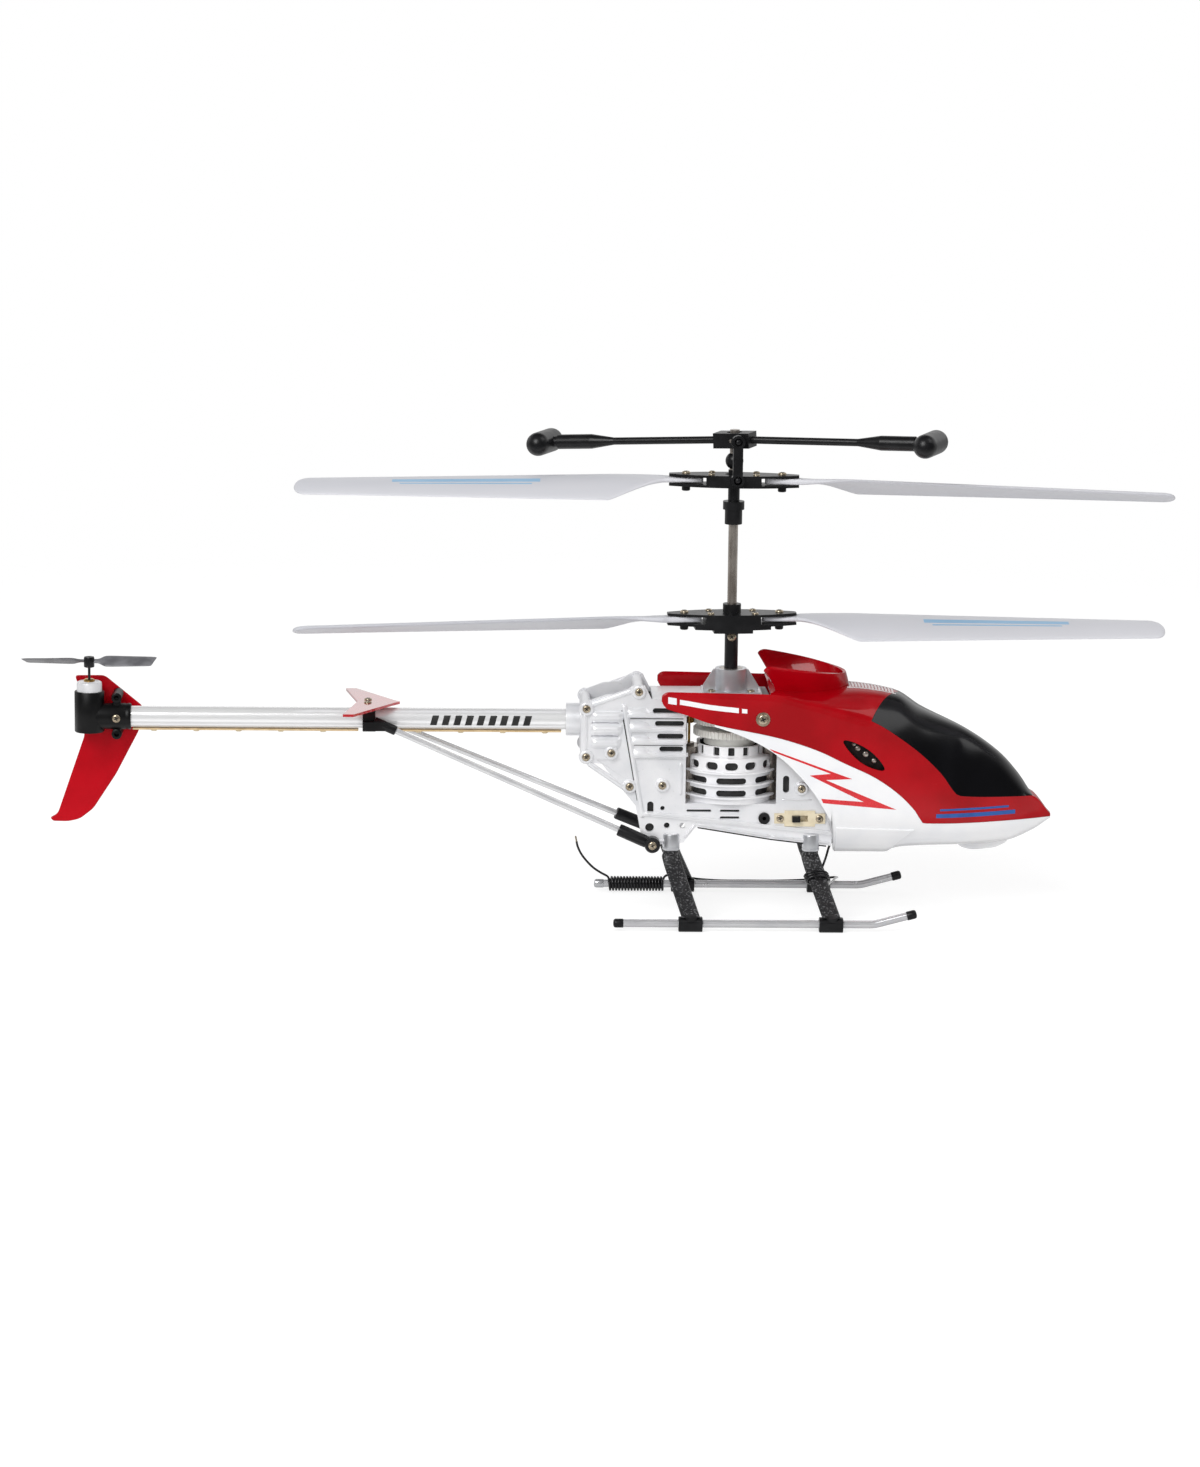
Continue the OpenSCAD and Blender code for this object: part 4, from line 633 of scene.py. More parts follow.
@dataclass
class Mesh:
    """Points and faces of one piece, in millimetres from the mast's foot."""

    points: list[Point] = field(default_factory=list)
    faces: list[tuple[int, ...]] = field(default_factory=list)

    def add(self, points: Iterable[Point], faces: Iterable[Sequence[int]]) -> "Mesh":
        """Joins more points and faces to the mesh.

        Args:
            points: The new points.
            faces: Faces on the new points, counted from nought.

        Returns:
            This mesh.
        """
        first = len(self.points)
        self.points += [tuple(p) for p in points]
        self.faces += [tuple(first + i for i in f) for f in faces]
        return self

    def loft(self, rings: Sequence[Sequence[Point]]) -> "Mesh":
        """Adds a skin over closed rings, with capped ends.

        Args:
            rings: Rings of the same number of points.

        Returns:
            This mesh.
        """
        n = len(rings[0])
        faces = [
            (r * n + i, r * n + (i + 1) % n, (r + 1) * n + (i + 1) % n, (r + 1) * n + i)
            for r in range(len(rings) - 1)
            for i in range(n)
        ]
        faces.append(tuple(reversed(range(n))))
        faces.append(tuple(range((len(rings) - 1) * n, len(rings) * n)))
        return self.add([p for ring in rings for p in ring], faces)

    def prism(self, outline: Outline, levels: Sequence[float], side: Side) -> "Mesh":
        """Adds a prism of a side-view outline between distances out from the middle."""
        return self.loft([[side.point(x, y, z) for x, z in outline] for y in levels])

    def turned(self, profile: Outline, at: Point, axis: Point, count: int = 32) -> "Mesh":
        """Adds a turned form.

        Args:
            profile: Pairs of radius and height along the axis, from one end to the other.
            at: Where the axis starts.
            axis: Its direction.
            count: Points round the form.

        Returns:
            This mesh.
        """
        turn = Vector(axis).to_track_quat("Z", "Y").to_matrix()
        rings = [
            [
                tuple(Vector(at) + turn @ Vector((r * cos(a), r * sin(a), h)))
                for a in (2 * pi * i / count for i in range(count))
            ]
            for r, h in profile
        ]
        return self.loft(rings)

    def shell(
        self, outer: Grid, inner: Grid, keep: Callable[[int, int], bool] = lambda i, j: True
    ) -> "Mesh":
        """Adds a sheet with thickness.

        Args:
            outer: Rows of points of the outer face.
            inner: The matching points of the inner face.
            keep: Tells which cells of the grid are there.

        Returns:
            This mesh.
        """
        rows, cols = len(outer), len(outer[0])
        cells = {(i, j) for i in range(rows - 1) for j in range(cols - 1) if keep(i, j)}
        used = sorted({(i + a, j + b) for i, j in cells for a in (0, 1) for b in (0, 1)})
        top = {c: k for k, c in enumerate(used)}
        low = {c: k + len(used) for k, c in enumerate(used)}
        faces = []
        for i, j in sorted(cells):
            a, b, c, d = (i, j), (i + 1, j), (i + 1, j + 1), (i, j + 1)
            faces += [(top[a], top[b], top[c], top[d]), (low[d], low[c], low[b], low[a])]
            edges = (((i, j - 1), a, b), ((i + 1, j), b, c), ((i, j + 1), c, d), ((i - 1, j), d, a))
            for near, p, q in edges:
                if near not in cells:
                    faces.append((top[q], top[p], low[p], low[q]))
        return self.add([grid[i][j] for grid in (outer, inner) for i, j in used], faces)

    def data(self, name: str) -> bpy.types.Mesh:
        """The mesh as Blender data with its faces turned outwards.

        Args:
            name: Name of the data.

        Returns:
            The data, in metres in the row frame.
        """
        data = bpy.data.meshes.new(name)
        data.from_pydata(metres(self.points), [], self.faces)
        work = bmesh.new()
        work.from_mesh(data)
        bmesh.ops.remove_doubles(work, verts=work.verts, dist=WELD)
        bmesh.ops.recalc_face_normals(work, faces=work.faces)
        work.to_mesh(data)
        work.free()
        return data

    def moved(self, matrix: Matrix) -> "Mesh":
        """A copy of the mesh put elsewhere."""
        return Mesh([tuple(matrix @ Vector(p)) for p in self.points], list(self.faces))

    def piece(
        self,
        name: str,
        finish: Finish,
        body: Body = Body.AIRFRAME,
        replaces: Sequence[str] = (),
        bevel: float = 0.0,
        angle: float = 40.0,
        cutter: "Mesh | None" = None,
    ) -> bpy.types.Object:
        """Makes the mesh a piece of the helicopter.

        Args:
            name: The piece's name.
            finish: Its finish, which also names its slot.
            body: The body that it rides on.
            replaces: The CAD nodes that it stands for.
            bevel: Width of the rounding on its sharp edges, in millimetres.
            angle: Edges sharper than this are rounded and shaded as edges, in degrees.
            cutter: Closed form that is cut away from the piece.

        Returns:
            The new object.
        """
        data = self.data(name)
        made = linked(name, data)
        if cutter is not None:
            made.data = data = cut_away(made, cutter.data(name + "_cut"))
            data.name = name
        data.materials.clear()
        data.materials.append(finish.material())
        if bevel:
            round_edges(made, bevel, steps=3, angle=angle)
        data.polygons.foreach_set("use_smooth", [True] * len(data.polygons))
        data.set_sharp_from_angle(angle=radians(angle))
        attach(made, body.value)
        if replaces:
            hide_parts(*replaces)
        LOG.info("piece %s: %d points", name, len(data.vertices))
        return made


@dataclass
class Antenna:
    """Receiver wire: out of the hull, round a leg, along the far skid, wound there, and its free end."""

    wire: float = 0.9
    leg_knee: Point = (31.3, -14.4, 21.8)
    leg_foot: Point = (37.5, -34.0, 6.2)
    loop: Pair = (4.55, 2.7)
    loop_pitch: float = 1.15
    loop_place: float = 0.25
    loop_turns: Sequence[float] = tuple(250 + 22.5 * k for k in range(46))
    wound_radius: float = 2.5
    wound_pitch: float = 1.2
    wound_front: float = -23.0
    wound_length: float = 21.0
    wound_steps: int = 420
    turn_steps: int = 24
    skid: Pair = (34.0, 3.0)
    sleeve: Pair = (1.56, 2.0)
    lead_in: tuple[Point, ...] = (
        (46, -6, 43.4), (46, -6, 41.5), (45, -6, 37.6), (42.9, -6, 33.8), (40.4, -6.3, 30.8),
        (38.3, -7.4, 27.4), (37, -9.2, 23.6), (35.6, -11, 20.2),
    )
    lead_out: tuple[Point, ...] = (
        (37.7, -13.4, 14.4), (38, -8, 12.4), (39.5, 2, 10.6), (41.6, 14, 9), (43.4, 25, 7.6),
        (44.6, 31.6, 6.4), (44.8, 35, 5.7), (43.7, 37.3, 5.2), (41.6, 38.1, 4.8), (38, 37.9, 4.4),
        (30, 37.6, 3.9), (20, 37.5, 3.6), (10, 37.5, 3.6), (0, 37.5, 3.6), (-10, 37.6, 4.2),
        (-15, 37.6, 5.1), (-18.5, 37.5, 5.6), (-21, 37.2, 5.7), (-22, 36.95, 5.43), (-22.73, 36.65, 4.7),
    )
    tail: tuple[Point, ...] = (
        (-44.6, 31.7, 6), (-47, 32, 7.4), (-50, 32.6, 9.2), (-53, 33.2, 12), (-55.3, 33.6, 15),
        (-56.6, 33.9, 17.8), (-57, 34, 19.6),
    )
    tip: Outline = ((0.3, -1.2), (0.34, 0), (0.34, 1.9), (0.2, 2.2), (0.02, 2.3))
    tip_axis: Point = (-0.2, 0.05, 1)

    def leg_loops(self) -> list[Point]:
        """Turns of the wire round the front right leg.

        Returns:
            Places along the turns.
        """
        knee, foot = Vector(self.leg_knee), Vector(self.leg_foot)
        along = (foot - knee).normalized()
        side = along.cross(Vector((0, 0, 1))).normalized()
        face = side.cross(along)
        middle = knee + (foot - knee) * self.loop_place
        made = []
        for k, turn in enumerate(self.loop_turns):
            a = radians(turn)
            made.append(
                middle
                + along * self.loop_pitch * (k / 16 - 1.2)
                + side * cos(a) * self.loop[0]
                + face * sin(a) * self.loop[1]
            )
        return [tuple(p) for p in made]

    def wound(self, step: int) -> Point:
        """Place of one step of the winding on the far skid.

        Args:
            step: Number of the step, from the front.

        Returns:
            The place.
        """
        turns, r, (y, z) = step / self.turn_steps, self.wound_radius, self.skid
        a = -2 * pi * turns
        return (self.wound_front - self.wound_pitch * turns, y + r * cos(a), z + r * sin(a))

    @staticmethod
    def eased(points: Sequence[Point], parts: int) -> list[Point]:
        """Centripetal curve through points.

        Args:
            points: Places that the curve goes through.
            parts: Short steps between each two of them.

        Returns:
            The places along the curve.
        """
        p = [Vector(q) for q in points]
        p = [p[0] * 2 - p[1], *p, p[-1] * 2 - p[-2]]
        made = []
        for a, b, c, d in zip(p, p[1:], p[2:], p[3:]):
            t1 = (b - a).length ** 0.5
            t2 = t1 + (c - b).length ** 0.5
            t3 = t2 + (d - c).length ** 0.5
            for k in range(parts):
                t = between(t1, t2, k / parts)
                middle = (t - t1) / (t2 - t1)
                e, f, g = a.lerp(b, t / t1), b.lerp(c, middle), c.lerp(d, (t - t2) / (t3 - t2))
                made.append(e.lerp(f, t / t2).lerp(f.lerp(g, (t - t1) / (t3 - t1)), middle))
        return [tuple(q) for q in (*made, p[-2])]

    def route(self) -> list[Point]:
        """The whole wire from its hole in the hull to its free end.

        Returns:
            Places along the wire.
        """
        wound = [self.wound(k) for k in range(self.wound_steps + 1)]
        lead = self.eased((*self.lead_in, *self.leg_loops(), *self.lead_out, wound[0]), 4)
        last = wound[-1]
        rise = (last, (last[0] - 0.25, last[1] - 0.1, last[2] + 0.9), *self.tail)
        return lead[:-1] + wound + self.eased(rise, 4)[1:]

    def build(self) -> None:
        """Builds the wire, its bare tip and the sleeve under the winding."""
        points = metres(self.route())
        data = bpy.data.curves.new("antenna_wire", "CURVE")
        data.dimensions = "3D"
        data.bevel_depth = self.wire / 2 * MM
        data.bevel_resolution = 3
        data.use_fill_caps = True
        spline = data.splines.new("POLY")
        spline.points.add(len(points) - 1)
        for place, p in zip(spline.points, points):
            place.co = (*p, 1)
        spline.use_smooth = True
        wire = linked("antenna_wire", data)
        data.materials.append(Finishes.WIRE.material())
        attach(wire, Body.AIRFRAME.value)
        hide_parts("antenna_lead", "antenna_winding", "antenna_tail")
        tip = Mesh().turned(self.tip, self.tail[-1], self.tip_axis, 12)
        bare = tip.piece("antenna_tip", Finishes.BRIGHT)
        length = sum((Vector(b) - Vector(a)).length for a, b in zip(points, points[1:]))
        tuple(points[0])
        LOG.info("antenna wire: %.1f mm", length / MM)
        (bore, r), long = self.sleeve, self.wound_length
        profile = [(bore, 0), (r - 0.1, 0), (r, 0.3), (r, long - 0.3), (r - 0.1, long), (bore, long)]
        sleeve = Mesh().turned(profile, (self.wound_front - long, *self.skid), (1, 0, 0), 24)
        sleeve.piece("antenna_sleeve", Finishes.BLACK)


@dataclass
class Canopy:
    """Red body with its arms, deck and scoop, the white hull under it, and the smoked window."""

    half_width: float = 22.5
    wall: float = 1.2
    arm_x: float = -27.0
    arm_round: float = 3.0
    arm_steps: tuple[float, ...] = (0.15, 0.4, 0.8, 1.3, 2.2)
    nose_x: float = 123.0
    strip_x: float = -7.0
    deck_x: float = 14.0
    hull_x: float = 39.4
    glass_x: float = 52.0
    glass_end: float = 115.4
    rake: float = 12.0
    deck_power: float = 2.2
    seam: float = 0.1
    spacing: float = 1.6
    side_rows: int = 10
    top_rows: int = 14
    hull_rows: int = 14
    belt: Line = Line(
        (-27, 89.5), (14.6, 89), (26.5, 86.3), (50.6, 79.3), (67.5, 68.9), (79.3, 58), (84.4, 50.9),
        (85.8, 49.6), (88, 49.1), (110, 47.6), (115.4, 47.4), (123, 39.4),
    )
    top: Line = Line(
        (-27, 89.7), (14, 89.3), (44.8, 88.9), (63, 86.3), (72.6, 80.5), (89.7, 72.2), (103, 63),
        (111, 54.2), (115.4, 47.7), (123, 39.7),
    )
    red: Line = Line(
        (-27, 83.4), (-17.6, 80.5), (-8.6, 77.4), (16.5, 72.2), (31.5, 67.5), (42.6, 62.3),
        (53.6, 57.1), (62.6, 50.9), (69.7, 43.7), (73, 38.9), (123, 38.5),
    )
    strip: Line = Line(
        (-7, 76.2), (0, 73.9), (10.5, 69.3), (18.7, 63.8), (26.2, 56.5), (32.3, 48.8), (38.4, 38.5),
    )
    keel: Line = Line((59, 25.3), (66, 27), (105, 29), (116, 33), (123, 37.6))
    plan: Line = Line((40, 1), (73, 0.93), (90, 0.76), (110, 0.42), (119, 0.22), (123, 0.1))
    lean: Line = Line((30, 0), (52, 1), (75, 0.5), (100, 0))
    vent: Outline = (
        (40.4, 72.0), (46.5, 70.4), (52.5, 67.0), (56.9, 62.0), (57.9, 59.4), (54.6, 59.7),
        (49.2, 61.9), (44.2, 66.4),
    )
    vent_domes: tuple[Point, ...] = (
        (45.9, 69.2, 0.8), (47.4, 67.6, 1.1), (50.4, 65.4, 1.2), (53.6, 62.9, 1.0),
    )
    vent_cut: Pair = (16.0, 28.0)
    vent_tray: Point = (15.5, 18.4, 1.4)
    vent_seat: float = 18.3
    scoop_foot: Point = (16, 29, 15)
    scoop_rim: Point = (12, 31.7, 20)
    scoop_top: Pair = (98.4, 4.4)

    @staticmethod
    def fullness(share: float) -> float:
        """Share of the half width at a share of the height."""
        return max(0.0, 1 - (1 - min(1.0, max(0.0, share))) ** 4) ** (1 / 3)

    def half(self, x: float) -> float:
        """Half width at x."""
        return self.half_width * self.plan(x)

    def side_y(self, x: float, z: float) -> float:
        """Half width at x and height z."""
        return self.half(x) * self.fullness((z - self.keel(x)) / (self.belt(x) - self.keel(x)))

    def deck_top(self, x: float, y: float) -> float:
        """Height of the deck at x and y."""
        across = min(1.0, abs(y) / self.half(x))
        return between(self.belt(x), self.top(x), 1 - across ** self.deck_power)

    def skin(self, x: float, row: int) -> Point:
        """Point of the right half of the red skin and the window.

        Args:
            x: Station along the body.
            row: Row from the lower red edge over the belt to the middle of the top.

        Returns:
            The point on the outer face.
        """
        if row <= self.side_rows:
            low, high = self.red(x), self.belt(x)
            squeeze = max(0.3, quarter_round(min(1.0, (x - self.arm_x) / self.arm_round)))
            z = (low + high) / 2 + (high - low) * (row / self.side_rows - 0.5) * squeeze
            return (x, -self.side_y(x, z), z)
        t = (row - self.side_rows) / self.top_rows
        along = x + self.rake * self.lean(x) * t
        high = between(self.belt(x), self.top(along), 1 - (1 - t) ** self.deck_power)
        return (along, -self.half(x) * (1 - t), high)

    def under(self, x: float, row: int) -> Point:
        """Point of the right half of the white hull.

        Args:
            x: Station along the body.
            row: Row from the bottom up to the red edge.

        Returns:
            The point on the outer face.
        """
        keel = self.keel(x)
        deep = self.belt(x) - keel
        high = (self.red(x) - self.seam - keel) / deep
        low = (self.strip(x) - keel) / deep if x < self.hull_x else 0.02
        s = between(low, high, (row / self.hull_rows) ** 1.6)
        return (x, -self.half(x) * self.fullness(s), keel + s * deep)

    @staticmethod
    def inset(points: Grid, wall: float) -> Grid:
        """Moves each point of a grid in along its normal.

        Args:
            points: The outer face.
            wall: How far to move.

        Returns:
            The inner face.
        """
        rows, cols = len(points), len(points[0])

        def inner(i: int, j: int) -> Point:
            """The moved point of one cell.

            Args:
                i: The cell's row.
                j: Its column.

            Returns:
                The point.
            """
            a, b = (Vector(points[k][j]) for k in (max(i - 1, 0), min(i + 1, rows - 1)))
            c, d = (Vector(points[i][k]) for k in (max(j - 1, 0), min(j + 1, cols - 1)))
            return tuple(Vector(points[i][j]) - (b - a).cross(d - c).normalized() * wall)

        return sheet(inner, range(rows), range(cols))

    @staticmethod
    def whole(half: Grid) -> Grid:
        """The right half and its mirror image as one grid."""
        return [row + [(x, -y, z) for x, y, z in reversed(row[:-1])] for row in half]

    def stations(self) -> list[float]:
        """Places along the body, with the window's ends and the deck's start among them.

        Returns:
            The places from the arms' rear end to the nose.
        """
        stops = [self.arm_x, self.strip_x, self.deck_x, self.hull_x]
        stops += [self.glass_x, self.glass_end, self.nose_x]
        made = []
        for one, two in zip(stops, stops[1:]):
            count = max(3, round((two - one) / self.spacing))
            made += spread(one, two, count + 1)[:-1]
        return sorted([*made, *(self.arm_x + d for d in self.arm_steps), self.nose_x])

    def red_and_glass(self) -> None:
        """Builds the red skin and the window from one grid."""
        xs = self.stations()
        rows = self.side_rows + self.top_rows
        half = sheet(self.skin, xs, range(rows + 1))
        for line, x in zip(half, xs):
            if not self.glass_x <= x <= self.glass_end:
                self.round_shoulder(line)
        skin = self.whole(half)
        inner = self.inset(skin, self.wall)

        middle, last = [(a + b) / 2 for a, b in zip(xs, xs[1:])], 2 * rows - 1

        def glazed(i: int, j: int) -> bool:
            """Whether a cell belongs to the window."""
            return min(j, last - j) >= self.side_rows and self.glass_x < middle[i] < self.glass_end

        def painted(i: int, j: int) -> bool:
            """Whether a cell belongs to the red skin."""
            return min(j, last - j) < self.side_rows or middle[i] > self.deck_x and not glazed(i, j)

        body, window = Mesh().shell(skin, inner, painted), Mesh().shell(skin, inner, glazed)
        body.piece(
            "canopy_body", Finishes.RED, replaces=("canopy_shell",),
            bevel=0.2, angle=50, cutter=self.vent_hole(*self.vent_cut),
        )
        window.piece("canopy_window", Finishes.WINDOW, replaces=("windscreen",), bevel=0.2, angle=50)

    def vent_hole(self, start: float, end: float, grow: float = 0.0) -> Mesh:
        """Prisms through both sides with the outline of the leaf-shaped vent.

        Args:
            start: The prisms' nearest distance from the middle.
            end: Their farthest distance.
            grow: How far the outline spreads.

        Returns:
            The two closed forms.
        """
        middle = Vector((sum(x for x, _ in self.vent), sum(z for _, z in self.vent))) / len(self.vent)
        ring = [Vector(p) + (Vector(p) - middle).normalized() * grow for p in self.vent]
        soft = []
        for k, here in enumerate(ring):
            a, b = (ring[k - 1] + here) / 2, (here + ring[(k + 1) % len(ring)]) / 2
            soft += [bend(a, here, b, t) for t in spread(0, 1, 5)[:-1]]
        mesh = Mesh()
        for side in Side:
            mesh.prism(soft, (start, end), side)
        return mesh

    def vent_inside(self) -> None:
        """Builds the dark tray behind the vent with the round parts that show in it."""
        self.vent_hole(*self.vent_tray).piece("canopy_vent_tray", Finishes.TRAY, angle=35)
        mesh = Mesh()
        for side in Side:
            for x, z, r in self.vent_domes:
                dome = [(r, 0), (r, 0.5), (r * 0.8, 0.9), (r * 0.4, 1.1), (0.02, 1.15)]
                mesh.turned(dome, side.point(x, self.vent_seat, z), (0, side.value, 0), 20)
        mesh.piece("canopy_vent_parts", Finishes.STEEL, angle=35)

    def round_shoulder(self, line: list[Point]) -> None:
        """Rounds the corner between side and deck of one section.

        Args:
            line: The section's points, which are moved.
        """
        old = [Vector(p) for p in line]
        for k in range(self.side_rows - 2, self.side_rows + 3):
            line[k] = tuple((old[k - 1] + old[k] * 2 + old[k + 1]) / 4)

    def hull(self) -> None:
        """Builds the white hull with its bottom and the strip under the arm."""
        xs = [x for x in self.stations() if x >= self.strip_x]
        half = sheet(self.under, xs, range(self.hull_rows + 1))
        for side in Side:
            grid = [[(x, -y * side.value, z) for x, y, z in line] for line in half]
            inner = self.inset(grid, -self.wall * side.value)
            node = ("canopy_hull",) if side is Side.RIGHT else ()
            mesh = Mesh().shell(grid, inner)
            mesh.piece("canopy_hull_" + side.word, Finishes.WHITE, replaces=node, bevel=0.2, angle=50)

    @staticmethod
    def scoop_turns() -> list[float]:
        """Angles round the scoop from its right end to its left, closer together at both ends."""
        near, *ends = (pi / 2 - d for d in (0.07, 0.045, 0.024, 0.01, 0.003, 0))
        return [-a for a in reversed(ends)] + spread(-near, near, 45) + ends

    def scoop_point(self, turn: float, up: float) -> Point:
        """Point of the scoop's wall.

        Args:
            turn: Angle from the front, in radians.
            up: Share of the wall's height.

        Returns:
            The point on the outer face.
        """
        c, s = cos(turn), sin(turn)
        foot, rim = ((x + long * c, wide * s) for x, long, wide in (self.scoop_foot, self.scoop_rim))
        share = up ** 1.3
        up *= 0.84 + 0.16 * quarter_round(min(1.0, c / 0.07))
        high, fall = self.scoop_top
        return (
            between(foot[0], rim[0], share),
            between(foot[1], rim[1], share),
            between(self.deck_top(*foot) - 0.2, high - fall * c, up),
        )

    def scoop(self) -> None:
        """Builds the flared red scoop behind the mast housing."""
        grid = sheet(self.scoop_point, self.scoop_turns(), spread(0, 1, 9))
        mesh = Mesh().shell(grid, self.inset(grid, self.wall))
        mesh.piece("canopy_scoop", Finishes.RED, replaces=("intake_scoop",), bevel=0.42, angle=50)

    def build(self) -> None:
        """Builds the whole canopy."""
        self.red_and_glass()
        self.vent_inside()
        self.hull()
        self.scoop()


@dataclass
class Blades:
    """The four rotor blades."""

    bolt_r: float = 18.1
    rotor_r: float = 166.1
    chord: float = 21.0
    tip_chord: float = 13.6
    tip_rounding: Pair = (5.6, 4.6)
    tip_apex: float = 0.52
    tip_length: float = 6.0
    camber: float = 0.04
    thick: float = 1.8
    tongue_thick: float = 2.1
    tongue: float = 6.8
    heel: float = 6.5
    pitch: Pair = (21.0, 18.0)
    droop: float = 1.6
    lead: float = 4.5
    section: Outline = (
        (0, 0), (0.02, 0.42), (0.06, 0.68), (0.14, 0.88), (0.28, 1), (0.42, 1), (0.58, 0.93), (0.75, 0.78),
        (0.9, 0.54), (0.98, 0.34), (1, 0.12), (1, -0.12), (0.98, -0.34), (0.9, -0.54), (0.75, -0.78),
        (0.58, -0.93), (0.42, -1), (0.28, -1), (0.14, -0.88), (0.06, -0.68), (0.02, -0.42),
    )
    stripe_rows: tuple[tuple[float, ...], ...] = ((0.3, 0.44, 73, 129), (0.5, 0.54, 76, 126))
    stripe_lift: float = 0.05

    @property
    def wide_r(self) -> float:
        """Distance from the mast at which the blade is widest."""
        return self.bolt_r + 29

    def chord_at(self, s: float) -> float:
        """Chord at a distance from the mast.

        Args:
            s: The distance.

        Returns:
            The chord.
        """
        b, wide = self.bolt_r, self.wide_r
        return Line(
            (b - self.heel, 3), (b - 5.8, 4.6), (b - 5, 5.6), (b - 3, 7), (b + self.tongue, 7),
            (b + 9.5, 8.9), (wide - 1.4, 20.4), (wide, self.chord), (self.rotor_r, self.tip_chord),
            curve=Curve.STRAIGHT,
        )(s)

    def round_end(self, s: float, length: float) -> float:
        """Share of the full size that is left where an end of that length rounds off."""
        gone = max(0.0, 1 - max(0.0, self.rotor_r - s) / length)
        return sqrt(1 - gone * gone)

    def edges_at(self, s: float) -> Pair:
        """Places of the leading and the trailing edge, which round off at the tip.

        Args:
            s: Distance from the mast.

        Returns:
            Both places across the blade.
        """
        c, apex = self.chord_at(s), self.tip_apex
        front = min(self.lead, c / 2 + max(0.0, s - self.bolt_r - self.tongue) * 0.25)
        long, short = (self.round_end(s, length) for length in self.tip_rounding)
        return front - c * apex * (1 - long), front - c + c * (1 - apex) * (1 - short)

    def share_at(self, s: float) -> float:
        """Share of the pitch at a distance from the mast.

        Args:
            s: The distance.

        Returns:
            The share.
        """
        b, wide, root, end = self.bolt_r, self.wide_r, self.heel, self.tongue
        rise = (b + end, 0), (b + 9.5, 0.14), (wide - 3, 0.95), (wide, 1)
        return Line((b - root, 0), *rise, (self.rotor_r, 1))(s)

    def spot(self, s: float, p: float, t: float) -> Point:
        """Point of the blade.

        Args:
            s: Distance from the mast.
            p: Share of the chord, from the leading edge.
            t: Share of half the thickness, up from the middle.

        Returns:
            The point.
        """
        (front, back), k = self.edges_at(s), self.share_at(s)
        out = max(0.0, s - self.bolt_r - self.tongue)
        along = out / (self.rotor_r - self.bolt_r - self.tongue)
        turn = radians(between(*self.pitch, along) * k)
        full = copysign(min(1.0, abs(t) * 1.5), t) if t else 0.0
        half = between(self.tongue_thick, self.thick, k) / 2 * self.round_end(s, self.thick)
        arch = self.camber * (front - back) * 4 * p * (1 - p) * k
        y, z = between(front, back, p), half * between(full, t, k) + arch
        low = -out * tan(radians(self.droop))
        c, w = cos(turn), sin(turn)
        return (s, y * c - z * w, low + y * w + z * c)

    def form(self) -> Mesh:
        """One blade along +x, with its leading edge on +y.

        Returns:
            Its mesh.
        """
        b, wide, tip = self.bolt_r, self.wide_r, self.rotor_r - self.tip_length
        stops = ((b - self.heel, 6), (b - 3, 4), (b + self.tongue, 22), (wide, 40), (tip, 0))
        stations = []
        for (start, count), (end, _) in zip(stops, stops[1:]):
            stations += spread(start, end, count)[:-1]
        turns = spread(0, pi / 2, 15)[:-1]
        stations += [self.rotor_r - self.tip_length * (1 - sin(a)) for a in turns]
        return Mesh().loft([[self.spot(s, p, t) for p, t in self.section] for s in stations])

    def stripes(self) -> Mesh:
        """Two thin stripes along the blade's upper face.

        Returns:
            Their mesh.
        """
        mesh = Mesh()
        upper = Line(*self.section[:11])
        lift = self.stripe_lift / (self.thick / 2)
        for p0, p1, s0, s1 in self.stripe_rows:
            rings = []
            for s in spread(s0, s1, 24):
                top = [self.spot(s, p, upper(p) + lift) for p in spread(p0, p1, 4)]
                rings.append(top + [self.spot(s, p, upper(p) - 3 * lift) for p in (p1, p0)])
            mesh.loft(rings)
        return mesh

    def build(self) -> None:
        """Builds the blades of both rotors; the upper rotor's are mirrored."""
        shape, marks = self.form(), self.stripes()
        flip, half_turn = Matrix.Diagonal((1, -1, 1, 1)), Matrix.Rotation(pi, 4, "Z")
        for rotor in Rotor:
            place = rotor.place @ flip if rotor is Rotor.UPPER else rotor.place
            for letter, turn in (("a", Matrix.Identity(4)), ("b", half_turn)):
                node = f"{rotor.name.lower()}_blade_{letter}"
                body, put = Body(node), place @ turn
                shape.moved(put).piece(node + "_skin", Finishes.BLADE, body, (node,), angle=60)
                marks.moved(put).piece(node + "_stripes", Finishes.PALE, body)


